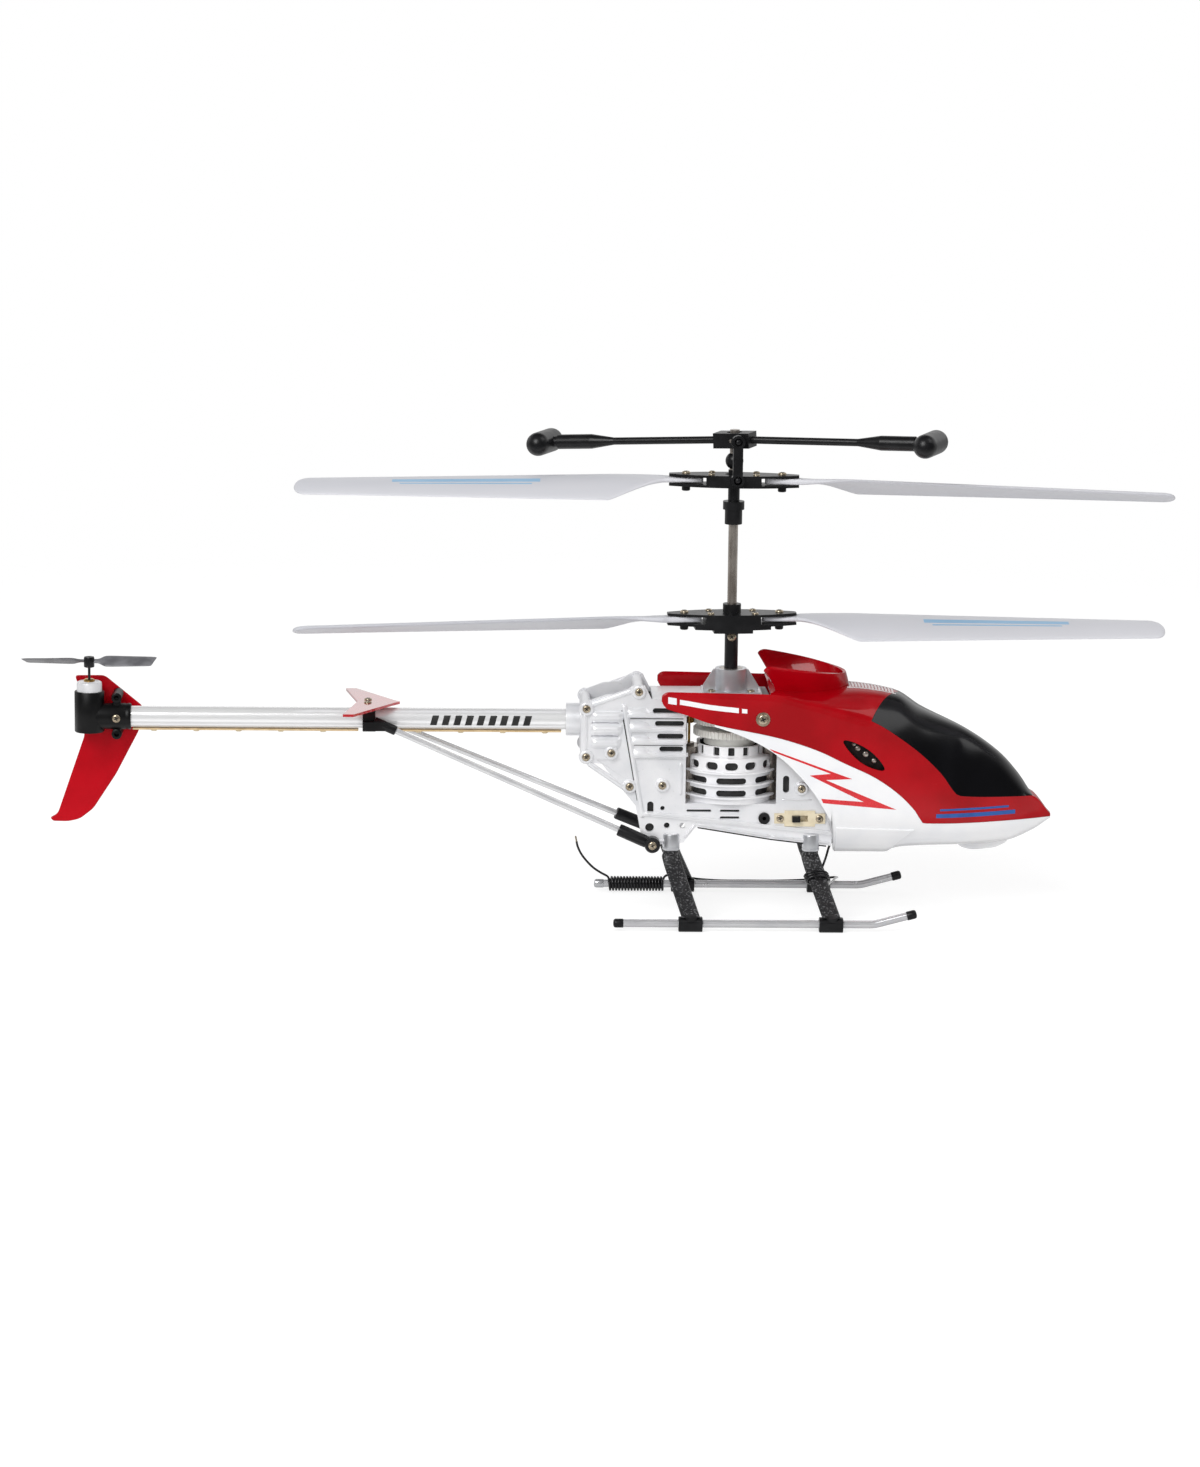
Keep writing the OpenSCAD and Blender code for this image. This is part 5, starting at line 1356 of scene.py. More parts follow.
@dataclass
class Trim:
    """Painted marks and small fittings on the canopy: flash, stripes, louvre, hull block and nose lamp."""

    canopy: Canopy
    paint: float = 0.05
    sunk: float = 0.15
    flash: Outline = (
        (13.8, 67.9), (45.3, 56.4), (35.4, 56.0), (62.4, 44.4), (34.5, 46.9), (33.8, 48.6), (50.0, 47.4),
        (29.2, 57.7), (37.2, 58.4), (15.4, 66.6),
    )
    arm_bars: tuple[Point, ...] = ((-24.6, -21.4, 1.25), (-20.2, 2.0, 0.95), (3.2, 5.2, 0.8))
    nose_bars: tuple[tuple[float, ...], ...] = ((77.6, 108.6, 41.0, 42.6), (79.0, 106.0, 43.7, 44.5))
    louvre_x: Pair = (45.0, 61.4)
    louvre_y: float = 5.4
    slat: Outline = ((-0.42, -0.3), (-0.36, 0.22), (0, 0.4), (0.36, 0.22), (0.42, -0.3))
    rail: tuple[Pair, Pair] = ((43.9, 6.1), (62.6, 5.0))
    rail_form: Outline = ((-0.5, -0.3), (-0.4, 0.35), (0.4, 0.35), (0.5, -0.3))
    lamp_x: Pair = (87.4, 106.4)
    lamp_deep: Line = Line((87.4, 0.05), (89.2, 1.7), (94, 2.7), (101, 2.4), (105, 1.2), (106.4, 0.1))
    lens_x: float = 103.6
    lens: Outline = ((1.5, -1.5), (1.5, 0.2), (1.2, 0.7), (0.6, 1.0), (0.02, 1.05))
    block_x: Point = (39.8, 60.5, 69.5)
    block_top: Pair = (37.2, 0.9)
    block_foot: float = 0.9
    block_lifts: Pair = (0.55, -0.3)

    def on_side(self, x: float, z: float, side: Side, lift: float) -> Point:
        """Point that stands off the canopy's side.

        Args:
            x: Place along the canopy.
            z: Height.
            side: The side.
            lift: How far the point stands off.

        Returns:
            The point.
        """
        c, d = self.canopy, 0.3
        slope = Vector((
            -(c.side_y(x + d, z) - c.side_y(x - d, z)) / (2 * d), 1,
            -(c.side_y(x, z + d) - c.side_y(x, z - d)) / (2 * d),
        )).normalized()
        return side.point(x + slope.x * lift, c.side_y(x, z) + slope.y * lift, z + slope.z * lift)

    def patch(self, mesh: Mesh, outline: Outline, side: Side, fine: float = 1.2) -> None:
        """Lays a thin patch of a side-view outline on the canopy's side.

        Args:
            mesh: Mesh to add to.
            outline: The patch's corners, x and z.
            side: The side that it lies on.
            fine: Longest edge of its triangles.
        """
        work = bmesh.new()
        work.faces.new([work.verts.new((x, 0, z)) for x, z in outline])
        work.normal_update()
        bmesh.ops.triangulate(work, faces=work.faces)
        for _ in range(5):
            long = [e for e in work.edges if e.calc_length() > fine]
            if not long:
                break
            bmesh.ops.subdivide_edges(work, edges=long, cuts=1)
            bmesh.ops.triangulate(work, faces=work.faces)
        work.verts.index_update()
        faces = [[v.index for v in f.verts] for f in work.faces]
        flat = [(v.co.x, v.co.z) for v in work.verts]
        edge = [[v.index for v in e.verts] for e in work.edges if len(e.link_faces) == 1]
        work.free()
        n = len(flat)
        points = [self.on_side(x, z, side, lift) for lift in (self.paint, -self.sunk) for x, z in flat]
        mesh.add(points, faces + [[a, b, b + n, a + n] for a, b in edge])

    @staticmethod
    def band(ends: Pair, low: Callable[[float], float], high: Callable[[float], float]) -> list[Pair]:
        """Outline between two lines in side view."""
        xs = spread(*ends, 24)
        return [(x, low(x)) for x in xs] + [(x, high(x)) for x in reversed(xs)]

    def marks(self) -> None:
        """Builds the red flash on the hull and the plain stripes on the arm and the nose."""
        c = self.canopy
        flash, white, blue = Mesh(), Mesh(), Mesh()

        def middle(x: float) -> float:
            """Height of the arm stripe's middle line."""
            return between(c.red(x), c.belt(x), 0.52)

        for side in Side:
            self.patch(flash, self.flash, side)
            for x0, x1, half in self.arm_bars:
                bar = self.band((x0, x1), lambda x: middle(x) - half, lambda x: middle(x) + half)
                self.patch(white, bar, side)
            for x0, x1, z0, z1 in self.nose_bars:
                self.patch(blue, self.band((x0, x1), lambda x: z0, lambda x: z1), side)
        flash.piece("hull_flash", Finishes.FLASH)
        white.piece("arm_stripe", Finishes.WHITE)
        blue.piece("nose_stripe", Finishes.BLUE)

    def louvre(self) -> None:
        """Builds the pale ribbed grille on top of the deck, behind the window; its pale tone is partly
        painted reflection.
        """
        c, mesh = self.canopy, Mesh()
        for x in spread(*self.louvre_x, 14):
            ys = [self.louvre_y * t for t in spread(-1, 1, 13)]
            mesh.loft([[(x + dx, y, c.deck_top(x, y) + dz) for dx, dz in self.slat] for y in ys])
        (x0, y0), (x1, y1) = self.rail
        for sign in (-1, 1):
            rings = []
            for t in spread(0, 1, 12):
                x, y = between(x0, x1, t), sign * between(y0, y1, t)
                rings.append([(x, y + dy, c.deck_top(x, y) + dz) for dy, dz in self.rail_form])
            mesh.loft(rings)
        mesh.piece("deck_louvre", Finishes.LOUVRE, bevel=0.08)

    def block(self) -> None:
        """Builds the raised lower block of the hull with its slanted front end."""
        (rear, low, high), (top, fall) = self.block_x, self.block_top
        for side in Side:
            grids = []
            for lift in self.block_lifts:
                def point(u: float, v: float) -> Point:
                    """Point of one face of the block.

                    Args:
                        u: Share of its length.
                        v: Share of its height.

                    Returns:
                        The point.
                    """
                    x = between(rear, between(low, high, v), u)
                    z = between(self.canopy.keel(x) + self.block_foot, top - fall * u, v)
                    return self.on_side(x, z, side, lift)

                grids.append(sheet(point, spread(0, 1, 26), spread(0, 1, 9)))
            mesh = Mesh().shell(*grids)
            mesh.piece("hull_block_" + side.word, Finishes.WHITE, bevel=0.3, angle=35)

    def nose_lamp(self) -> None:
        """Builds the white housing under the nose with its clear lamp."""
        c, rings = self.canopy, []
        for x in spread(*self.lamp_x, 20):
            keel, d = c.keel(x), self.lamp_deep(x)
            half = [(4.8, keel + 1.2), (4.7, keel), (4.2, keel - d * 0.8), (3.2, keel - d)]
            rings.append([(x, -y, z) for y, z in half] + [(x, y, z) for y, z in reversed(half)])
        Mesh().loft(rings).piece("nose_lamp_housing", Finishes.WHITE, bevel=0.2, angle=35)
        at = (self.lens_x, 0, c.keel(self.lens_x) - 1.0)
        lens = Mesh().turned(self.lens, at, (1, 0, -0.45), 24)
        lens.piece("nose_lamp_lens", Finishes.LAMP, replaces=("nose_light",))

    def build(self) -> None:
        """Builds all the trim."""
        self.nose_lamp()
        self.marks()
        self.louvre()
        self.block()


@dataclass
class Fasteners:
    """Screw heads with cross recesses, gathered for each body."""

    body: Body
    heads: Mesh = field(default_factory=Mesh)
    recesses: Mesh = field(default_factory=Mesh)
    dome: Outline = ((1, 0.3), (0.96, 0.55), (0.82, 0.8), (0.55, 0.96))

    def screw(self, at: Point, axis: Point, wide: float, high: float, spin: float = 0.5) -> None:
        """Adds a domed head with a cross recess.

        Args:
            at: Middle of the head's seat.
            axis: The way that the head faces.
            wide: The head's diameter.
            high: Its height.
            spin: Turn of the cross in radians.
        """
        r = wide / 2
        dome = [(r, -0.05), *((r * out, high * up) for out, up in self.dome), (0.01, high)]
        self.heads.turned(dome, at, axis, 24)
        turn = Vector(axis).to_track_quat("Z", "Y").to_matrix() @ Matrix.Rotation(spin, 3, "Z")
        arm, half = r * 0.5, r * 0.11
        low, top = high * 0.6, high + 0.03
        for a, b, end in ((half, arm, top), (arm, half, top - 0.01)):
            corners = ((-a, -b), (a, -b), (a, b), (-a, b))
            self.recesses.loft([
                [tuple(Vector(at) + turn @ Vector((x, y, h))) for x, y in corners] for h in (low, end)
            ])

    def nut(self, at: Point, axis: Point, wide: float, high: float) -> None:
        """Adds a plain round tail of a bolt."""
        r = wide / 2
        self.heads.turned([(r, 0), (r, high * 0.85), (r * 0.8, high)], at, axis, 20)

    def build(self, name: str, finish: Finish, replaces: Sequence[str]) -> None:
        """Makes the two pieces of the gathered heads.

        Args:
            name: The first piece's name.
            finish: Its finish.
            replaces: The CAD nodes that it stands for.
        """
        self.heads.piece(name, finish, self.body, replaces, angle=35)
        if self.recesses.points:
            self.recesses.piece(name + "_recess", Finishes.BLACK, self.body, angle=20)


@dataclass
class FrameDress:
    """Moulded detail of the silver frame: flutes, covers, boss rims, screws, and painted shade in its gaps
    and holes.
    """

    plate: float = 14.1
    sunk: float = 0.3
    inside: float = 12.5
    boss_out: float = 15.3
    flutes: Outline = ((78.4, 0.09), (73.2, 0.87), (68.2, 1.62), (63.2, 2.37))
    flute_proud: float = 1.5
    flute_tall: Pair = (3.4, 1.3)
    flute_x: Pair = (-40.2, -17.6)
    slot_x: Pair = (-32.2, -30.6)
    # Thin dark strips of painted shade under the flutes: their width, their ends and their drop below each
    # lip.
    shade_strip_width: float = 0.4
    shade_strip_x: Pair = (-38.6, -18.4)
    shade_strip_drop: float = 1.0
    socket_r: float = 3.25
    socket_z: Pair = (26.9, 33.2)
    bosses: Outline = (
        (-55, 81.3), (-35.3, 87.9), (-55, 62.8), (-45.5, 64.4), (-38.4, 51.5), (-26, 52), (26.8, 51.1),
    )
    boss_rim: Outline = ((1.5, 0), (1.62, 0.12), (2.1, 0.14), (2.5, -0.1), (2.75, -0.7), (2.8, -1.3))
    ribs_at: tuple[tuple[Pair, Pair, float, float], ...] = (
        ((-41.0, 83.2), (-33.2, 39.2), 1.9, 1.1), ((-33.4, 41.3), (38.2, 33.9), 1.7, 1.1),
        ((-31.6, 30.0), (-18.6, 31.0), 1.3, 0.7), ((-17.6, 31.4), (-13.2, 37.2), 1.3, 0.7),
        ((-12.6, 37.0), (15.4, 32.6), 1.3, 0.7), ((15.4, 32.6), (38.0, 30.0), 1.3, 0.7),
        ((-54.6, 60.6), (-39.4, 50.2), 2.2, 1.0), ((-53.8, 82.6), (-37.2, 88.6), 2.2, 1.0),
        ((-55.6, 79.6), (-55.6, 64.4), 2.0, 1.0), ((-19.2, 48.0), (-19.2, 61.0), 1.8, 0.8),
        ((19.0, 46.6), (31.0, 46.6), 1.0, 0.4),
    )
    # More strips of painted shade, each from one end to the other.
    shade_strips_at: tuple[tuple[Pair, Pair], ...] = (
        ((-41.9, 80.6), (-35.6, 46.0)), ((-12.4, 35.4), (15.4, 31.0)), ((15.4, 31.0), (36.6, 28.5)),
    )
    web: Outline = ((-51.4, 61.9), (-41.2, 62.4), (-39.0, 53.6))
    web_y: Pair = (0.3, 1.1)
    cover_x: Point = (-54.2, -41.4, -40.0)
    cover_z: Pair = (65.6, 80.8)
    cover_bulge: Pair = (0.7, 2.5)
    cover_waves: int = 3
    cover_wall: float = 0.8
    # Dark sheets of painted shade behind the frame's slots, as x0, x1, z0, z1, and behind the drum's holes,
    # as radius and height.
    shade_sheet_boxes: tuple[tuple[float, ...], ...] = (
        (-31.6, -16.8, 62.9, 83.2), (-33.0, -20.6, 33.2, 46.8), (-20.0, 5.2, 38.2, 43.1),
        (18.8, 23.0, 48.4, 57.0),
    )
    drum_lining: Outline = ((15.1, 45.3), (15.1, 54.0), (15.1, 61.2), (12.0, 61.4), (12.0, 66.2))
    screw_w: float = 2.9
    eye: Point = (-29.6, 19.2, 29.6)
    switch: Point = (26.3, -14.9, 39.5)
    switch_pitch: float = 14.9
    deck_screw: Point = (7.5, 5.0, 86.6)
    plate_screw: Point = (-137.6, 3.0, 80.9)
    canopy_screw: Pair = (11.2, 79.2)
    canopy_washer: Outline = ((2.7, 0), (2.75, 0.25), (2.6, 0.5), (1.9, 0.55))

    def rib(self, mesh: Mesh, ends: tuple[Pair, Pair], wide: float, proud: float, side: Side) -> None:
        """Adds a half-round rib with tapered ends on a side plate.

        Args:
            mesh: Mesh that takes it.
            ends: Both ends, x and z.
            wide: Its width.
            proud: How far it stands off the plate.
            side: Side plate that it stands on.
        """
        a, b = (Vector((x, 0, z)) for x, z in ends)
        along = (b - a).normalized()
        across, out = Vector((-along.z, 0, along.x)), Vector((0, side.value, 0))
        length, rings = (b - a).length, []
        tail = [length - t for t in (1.2, 0.6, 0.25, 0)]
        for t in (0, 0.25, 0.6, 1.2, *spread(2.0, length - 2.0, 6), *tail):
            near = min(t, length - t, 1.6) / 1.6
            size = max(sqrt(0.02), quarter_round(near))
            middle = a + along * t + out * (self.plate - self.sunk)
            w, h = wide / 2 * size, (proud + self.sunk) * size
            rings.append([
                tuple(middle + across * (w * cos(turn)) + out * (h * sin(turn)))
                for turn in spread(0, pi, 9)
            ])
        mesh.loft(rings)

    def flute(self, mesh: Mesh, start: float, end: float, z: float, side: Side) -> None:
        """Adds a level flute whose face slopes out and down to an undercut lip.

        Args:
            mesh: Mesh that takes it.
            start: Rear end of the flute.
            end: Front end of the flute.
            z: Height of its lip.
            side: Side plate that it stands on.
        """
        rings, length, base = [], end - start, self.plate - self.sunk
        (tall, short), (rear, front) = self.flute_tall, self.slot_x
        height = Line((start, tall), (rear, tall), (front, short), (end, short), curve=Curve.STRAIGHT)
        for t in (0, 0.4, 1.2, *spread(2.4, length - 2.4, 14), length - 1.2, length - 0.4, length):
            near = min(t, length - t, 2.0) / 2.0
            out = self.plate + self.flute_proud * quarter_round(near)
            high = height(start + t)
            face = [(z + high, base), (z + high - 0.1, self.plate + 0.02)]
            face.append((z + high * 0.45, between(self.plate, out, 0.6)))
            lip = [(z + 0.3, out), (z, out - 0.06), (z - 0.2, out - 0.3), (z + 0.2, base)]
            rings.append([side.point(start + t, y, level) for level, y in face + lip])
        mesh.loft(rings)

    def ribs(self) -> None:
        """Builds the flutes and rounded rims of both side plates."""
        mesh = Mesh()
        rear, front = self.flute_x
        for side in Side:
            for z, shift in self.flutes:
                self.flute(mesh, rear + shift, front + shift * 0.5, z, side)
            for start, end, wide, proud in self.ribs_at:
                self.rib(mesh, (start, end), wide, proud, side)
        mesh.piece("frame_ribs", Finishes.SILVER, angle=60)

    def shade_strips(self) -> None:
        """Builds thin dark strips of painted shade under the flutes, behind the slanted rib and along the
        lower rail.
        """
        mesh = Mesh()
        (rear, front), drop = self.shade_strip_x, self.shade_strip_drop
        lines = [((rear + shift, z - drop), (front, z - drop)) for z, shift in self.flutes]
        for side in Side:
            for (x0, z0), (x1, z1) in (*lines, *self.shade_strips_at):
                steep = abs(z1 - z0) > abs(x1 - x0)
                dx, dz = (self.shade_strip_width, 0) if steep else (0, self.shade_strip_width)
                edge = [(x0, z0), (x1, z1), (x1 + dx, z1 + dz), (x0 + dx, z0 + dz)]
                mesh.prism(edge, (self.plate - 0.6, self.plate + 0.1), side)
        mesh.piece("frame_painted_shade_strips", Finishes.LINING)

    def covers(self) -> None:
        """Builds the bulged covers of the frame's rear box."""
        mesh = Mesh()
        (rear, low, high), (base, bulge) = self.cover_x, self.cover_bulge
        for side in Side:
            grids = []
            for deep in (0, self.cover_wall):
                def point(u: float, v: float) -> Point:
                    """Point of one face of the cover.

                    Args:
                        u: Share of its length.
                        v: Share of its height.

                    Returns:
                        The point.
                    """
                    wave = abs(sin(pi * self.cover_waves * v)) ** 0.6
                    rim = min(1.0, 6 * u, 6 * (1 - u))
                    y = self.inside + base + bulge * wave * sin(pi / 2 * rim) - deep
                    return side.point(between(rear, between(low, high, v), u), y, between(*self.cover_z, v))

                grids.append(sheet(point, spread(0, 1, 15), spread(0, 1, 34)))
            mesh.shell(*grids)
            mesh.prism(self.web, [self.inside + y for y in self.web_y], side)
        mesh.piece("frame_rear_covers", Finishes.SILVER, angle=45)

    def rims(self) -> None:
        """Builds the rounded rims of the screw bosses."""
        mesh = Mesh()
        for side in Side:
            for x, z in self.bosses:
                mesh.turned(self.boss_rim, side.point(x, self.boss_out, z), (0, side.value, 0), 28)
        mesh.piece("frame_boss_rims", Finishes.SILVER, angle=45)

    def collars(self) -> None:
        """Builds the grooved collars of the leg sockets, each with a pin on top."""
        mesh = Mesh()
        r, (low, high) = self.socket_r, self.socket_z
        tall = high - low
        collar = [
            (r - 0.5, 0), (r - 0.1, 0.05), (r, 0.2), (r, 0.95), (r - 0.18, 1.05), (r - 0.18, 1.25),
            (r, 1.35), (r, tall - 0.4), (r - 0.12, tall - 0.12), (r - 0.4, tall), (0.9, tall),
            (0.9, tall + 1.9), (0.02, tall + 2.1),
        ]
        for side in Side:
            for x in LandingGear.sockets:
                mesh.turned(collar, side.point(x, LandingGear.socket_y, low), (0, 0, 1), 36)
        mesh.piece("leg_socket_collars", Finishes.HOUSING, angle=40)

    def shade_sheets(self) -> None:
        """Builds dark sheets of painted shade that show through the frame's slots and the drum's holes."""
        mesh = Mesh()
        turns = spread(radians(24), radians(156), 33)
        for side in Side:
            for x0, x1, z0, z1 in self.shade_sheet_boxes:
                corners = ((x0, z0), (x1, z0), (x1, z1), (x0, z1))
                mesh.prism(corners, (self.inside - 0.6, self.inside - 0.25), side)
            mesh.shell(*(
                [[side.ring_point(r - deep, a, z) for r, z in self.drum_lining] for a in turns]
                for deep in (0, 0.3)
            ))
        mesh.piece("frame_painted_shade_sheets", Finishes.LINING)

    def screws(self, canopy: Canopy) -> None:
        """Builds the screws of the airframe.

        Args:
            canopy: The canopy that takes the trim screws.
        """
        group = Fasteners(Body.AIRFRAME)
        spin = 0.2
        for side in Side:
            s, out, up = side.value, (0, side.value, 0), (0, 0, 1)
            for x, z in self.bosses:
                spin += 0.7
                group.screw(side.point(x, self.boss_out, z), out, self.screw_w, 0.75, spin)
            group.screw(side.point(*self.eye), out, 3.2, 0.75, spin)
            x, y, z = self.deck_screw
            for e in (-1, 1):
                group.screw(side.point(x * e, y, z), up, self.screw_w, 0.7, spin + e)
            x, z = self.canopy_screw
            y = canopy.side_y(x, z)
            group.heads.turned(self.canopy_washer, side.point(x, y + 0.05, z), out, 32)
            group.screw(side.point(x, y + 0.5, z), out, 4.0, 0.9, 0.4)
            group.screw(side.point(*self.plate_screw), up, self.screw_w, 0.7, spin)
            x, y, z = self.switch
            hole = (x + s * self.switch_pitch / 2, y, z)
            group.screw(hole, (0, -1, 0), self.screw_w, 0.6, spin)
        group.build("airframe_screws", Finishes.BRIGHT, ("frame_screws", "trim_screws"))

    def build(self, canopy: Canopy) -> None:
        """Builds the frame's detail.

        Args:
            canopy: The canopy that takes the trim screws.
        """
        self.ribs()
        self.shade_strips()
        self.covers()
        self.rims()
        self.collars()
        self.shade_sheets()
        self.screws(canopy)


@dataclass
class RotorHeads:
    """Bolts and screws of the two rotor heads."""

    hub_screw: Pair = (8.4, 4.2)
    half_height: float = 2.3
    collar_screw: Point = (0, -2.65, 107.1)

    def build(self) -> None:
        """Builds the fasteners of both heads."""
        for rotor, body in ((Rotor.LOWER, Body.LOWER_ROTOR), (Rotor.UPPER, Body.UPPER_HEAD)):
            node = f"{rotor.name.lower()}_grip_bolts"
            put = rotor.place
            up = tuple(put.to_3x3() @ Vector((0, 0, 1)))
            down = tuple(-v for v in up)
            group, tails = Fasteners(body), Fasteners(body)
            for s in (-1, 1):
                top, low = (put @ Vector((s * Blades.bolt_r, 0, e * self.half_height)) for e in (1, -1))
                group.screw(tuple(top), up, 3.2, 1.0, 0.3 * s)
                tails.nut(tuple(low), down, 3.2, 1.9)
                for y in (-1, 1):
                    at = put @ Vector((s * self.hub_screw[0], y * self.hub_screw[1], self.half_height))
                    group.screw(tuple(at), up, 2.6, 0.7, 0.6 * s + y)
            if rotor is Rotor.LOWER:
                group.screw(self.collar_screw, (0, -1, 0), 3.3, 0.7, 0.7)
            group.build(node + "_heads", Finishes.BRIGHT, (node,))
            tails.build(node + "_tails", Finishes.BLACK, ())


@dataclass
class LandingGear:
    """Bent legs, skid tubes with their caps, and the sleeves that hold them."""

    sockets: Pair = (-22.3, 30.7)
    socket_y: float = 13.0
    socket_z: float = 27.0
    leg_w: float = 7.0
    leg_t: float = 4.4
    leg_corner: float = 1.1
    knee: Point = (0.6, 1.4, 5.2)
    foot_z: float = 5.75
    rake: float = 6.8
    track: float = 34.0
    skid_z: float = 3.0
    skid_r: float = 1.5
    bend_x: float = 52.0
    bend_r: float = 14.0
    bend: float = 15.0
    tip: float = 13.5
    rear: dict[Side, float] = field(default_factory=lambda: {Side.RIGHT: -43.5, Side.LEFT: -49.0})
    plug: Outline = ((2.6, 0), (2.95, 0.15), (2.95, 1.5), (2.7, 1.6))
    dome: Outline = (
        (1.5, -2.7), (1.64, -2.7), (1.7, -2.4), (1.7, 0.1), (1.58, 0.6), (1.2, 0.95), (0.6, 1.08),
        (0.02, 1.1),
    )
    sleeve_ends: Outline = ((-4.5, 0.93), (-4.3, 1), (-1.6, 1), (1.6, 1), (4.3, 1), (4.5, 0.93))
    sleeve_form: Point = (5.5, 5.6, 1.9)
    sleeve_z: float = 2.75
    knob: Outline = ((2.2, 0), (2.2, 1.0), (1.9, 1.5), (0.02, 1.7))
    knob_at: Point = (0.2, 1.2, 5.0)

    def leg(self, x: float, side: Side) -> Mesh:
        """A leg from its socket, round the knee and down to the skid.

        Args:
            x: Place of its socket.
            side: Its side.

        Returns:
            Its mesh.
        """
        y, z = self.socket_y, self.socket_z
        along, out, down = self.knee
        knee = Vector(side.point(x + along, y + out, z - down))
        foot = Vector(side.point(x + self.rake, self.track, self.foot_z))
        path = [side.point(x, y, z - 1.0), side.point(x, y + 0.1, z - 2.6)]
        start, turn = Vector(path[-1]), knee + (foot - knee) * 0.13
        path += [tuple(bend(start, knee, turn, t)) for t in spread(0.1, 1, 9)]
        path += [tuple(turn + (foot - turn) * t) for t in spread(0.08, 1, 9)]
        section = rounded(self.leg_w, self.leg_t, self.leg_corner)
        sizes = [0.8, 0.97] + [1.0] * (len(path) - 2)
        mesh = Mesh().loft([
            [(px + a * size, py + b * size, pz) for a, b in section]
            for (px, py, pz), size in zip(path, sizes)
        ])
        return mesh.turned(self.plug, side.point(x, y, z - 1.65), (0, 0, 1), 28)

    def tube_path(self, side: Side) -> list[Pair]:
        """Middle line of a skid in side view.

        Args:
            side: Its side.

        Returns:
            Places from its rear end over the bend to its tip.
        """
        turn, r = radians(self.bend), self.bend_r
        made = [(x, self.skid_z) for x in spread(self.rear[side], self.bend_x, 14)]
        for a in spread(turn / 8, turn, 8):
            made.append((self.bend_x + r * sin(a), self.skid_z + r * (1 - cos(a))))
        x, z = made[-1]
        for t in (0.25, 0.5, 0.75, 1):
            made.append((x + self.tip * t * cos(turn), z + self.tip * t * sin(turn)))
        return made

    def skids(self) -> None:
        """Builds the two bent tubes."""
        r, turns = self.skid_r, spread(0, 2 * pi, 33)[:-1]
        for side in Side:
            rings, path, y = [], self.tube_path(side), side.value * self.track
            for k, (x, z) in enumerate(path):
                (x0, z0), (x1, z1) = path[max(k - 1, 0)], path[min(k + 1, len(path) - 1)]
                a = atan2(z1 - z0, x1 - x0)
                s, c = sin(a), cos(a)
                rings.append([
                    (x - r * sin(w) * s, y + r * cos(w), z + r * sin(w) * c) for w in turns
                ])
            tube, node = Mesh().loft(rings), f"skid_{side.word}"
            tube.piece(f"skid_tube_{side.word}", Finishes.SKID, replaces=(node,), angle=40)

    def caps(self) -> None:
        """Builds the domed end caps, with a plain plug on the far tube's rear end."""
        black, pale = Mesh(), Mesh()
        turn = radians(self.bend)
        for side in Side:
            x, z = self.tube_path(side)[-1]
            black.turned(self.dome, side.point(x, self.track, z), (cos(turn), 0, sin(turn)), 28)
            end = side.point(self.rear[side], self.track, self.skid_z)
            (black if side is Side.RIGHT else pale).turned(self.dome, end, (-1, 0, 0), 28)
        black.piece("skid_end_caps", Finishes.BLACK, replaces=("skid_caps",), angle=50)
        pale.piece("skid_end_plug", Finishes.ALLOY, angle=50)

    def sleeves(self) -> None:
        """Builds the sleeves round the tubes, each with a knob where the leg is pinned."""
        mesh, section = Mesh(), rounded(*self.sleeve_form)
        along, out, up = self.knob_at
        for side in Side:
            y = side.value * self.track
            for x in self.sockets:
                at = x + self.rake
                mesh.loft([
                    [(at + t, y + b * size, self.sleeve_z + a * size) for a, b in section]
                    for t, size in self.sleeve_ends
                ])
                seat = (at + along, y + side.value * out, up)
                mesh.turned(self.knob, seat, (0, side.value * 0.4, 1), 24)
        mesh.piece("skid_sleeves", Finishes.BLACK, replaces=("skid_clamps",), angle=40)

    def build(self) -> None:
        """Builds the landing gear."""
        for x, end in zip(self.sockets, ("rear", "front")):
            for side in Side:
                node = f"leg_{end}_{side.word}"
                self.leg(x, side).piece(node + "_bent", Finishes.LEG, replaces=(node,), angle=50)
        self.skids()
        self.caps()
        self.sleeves()


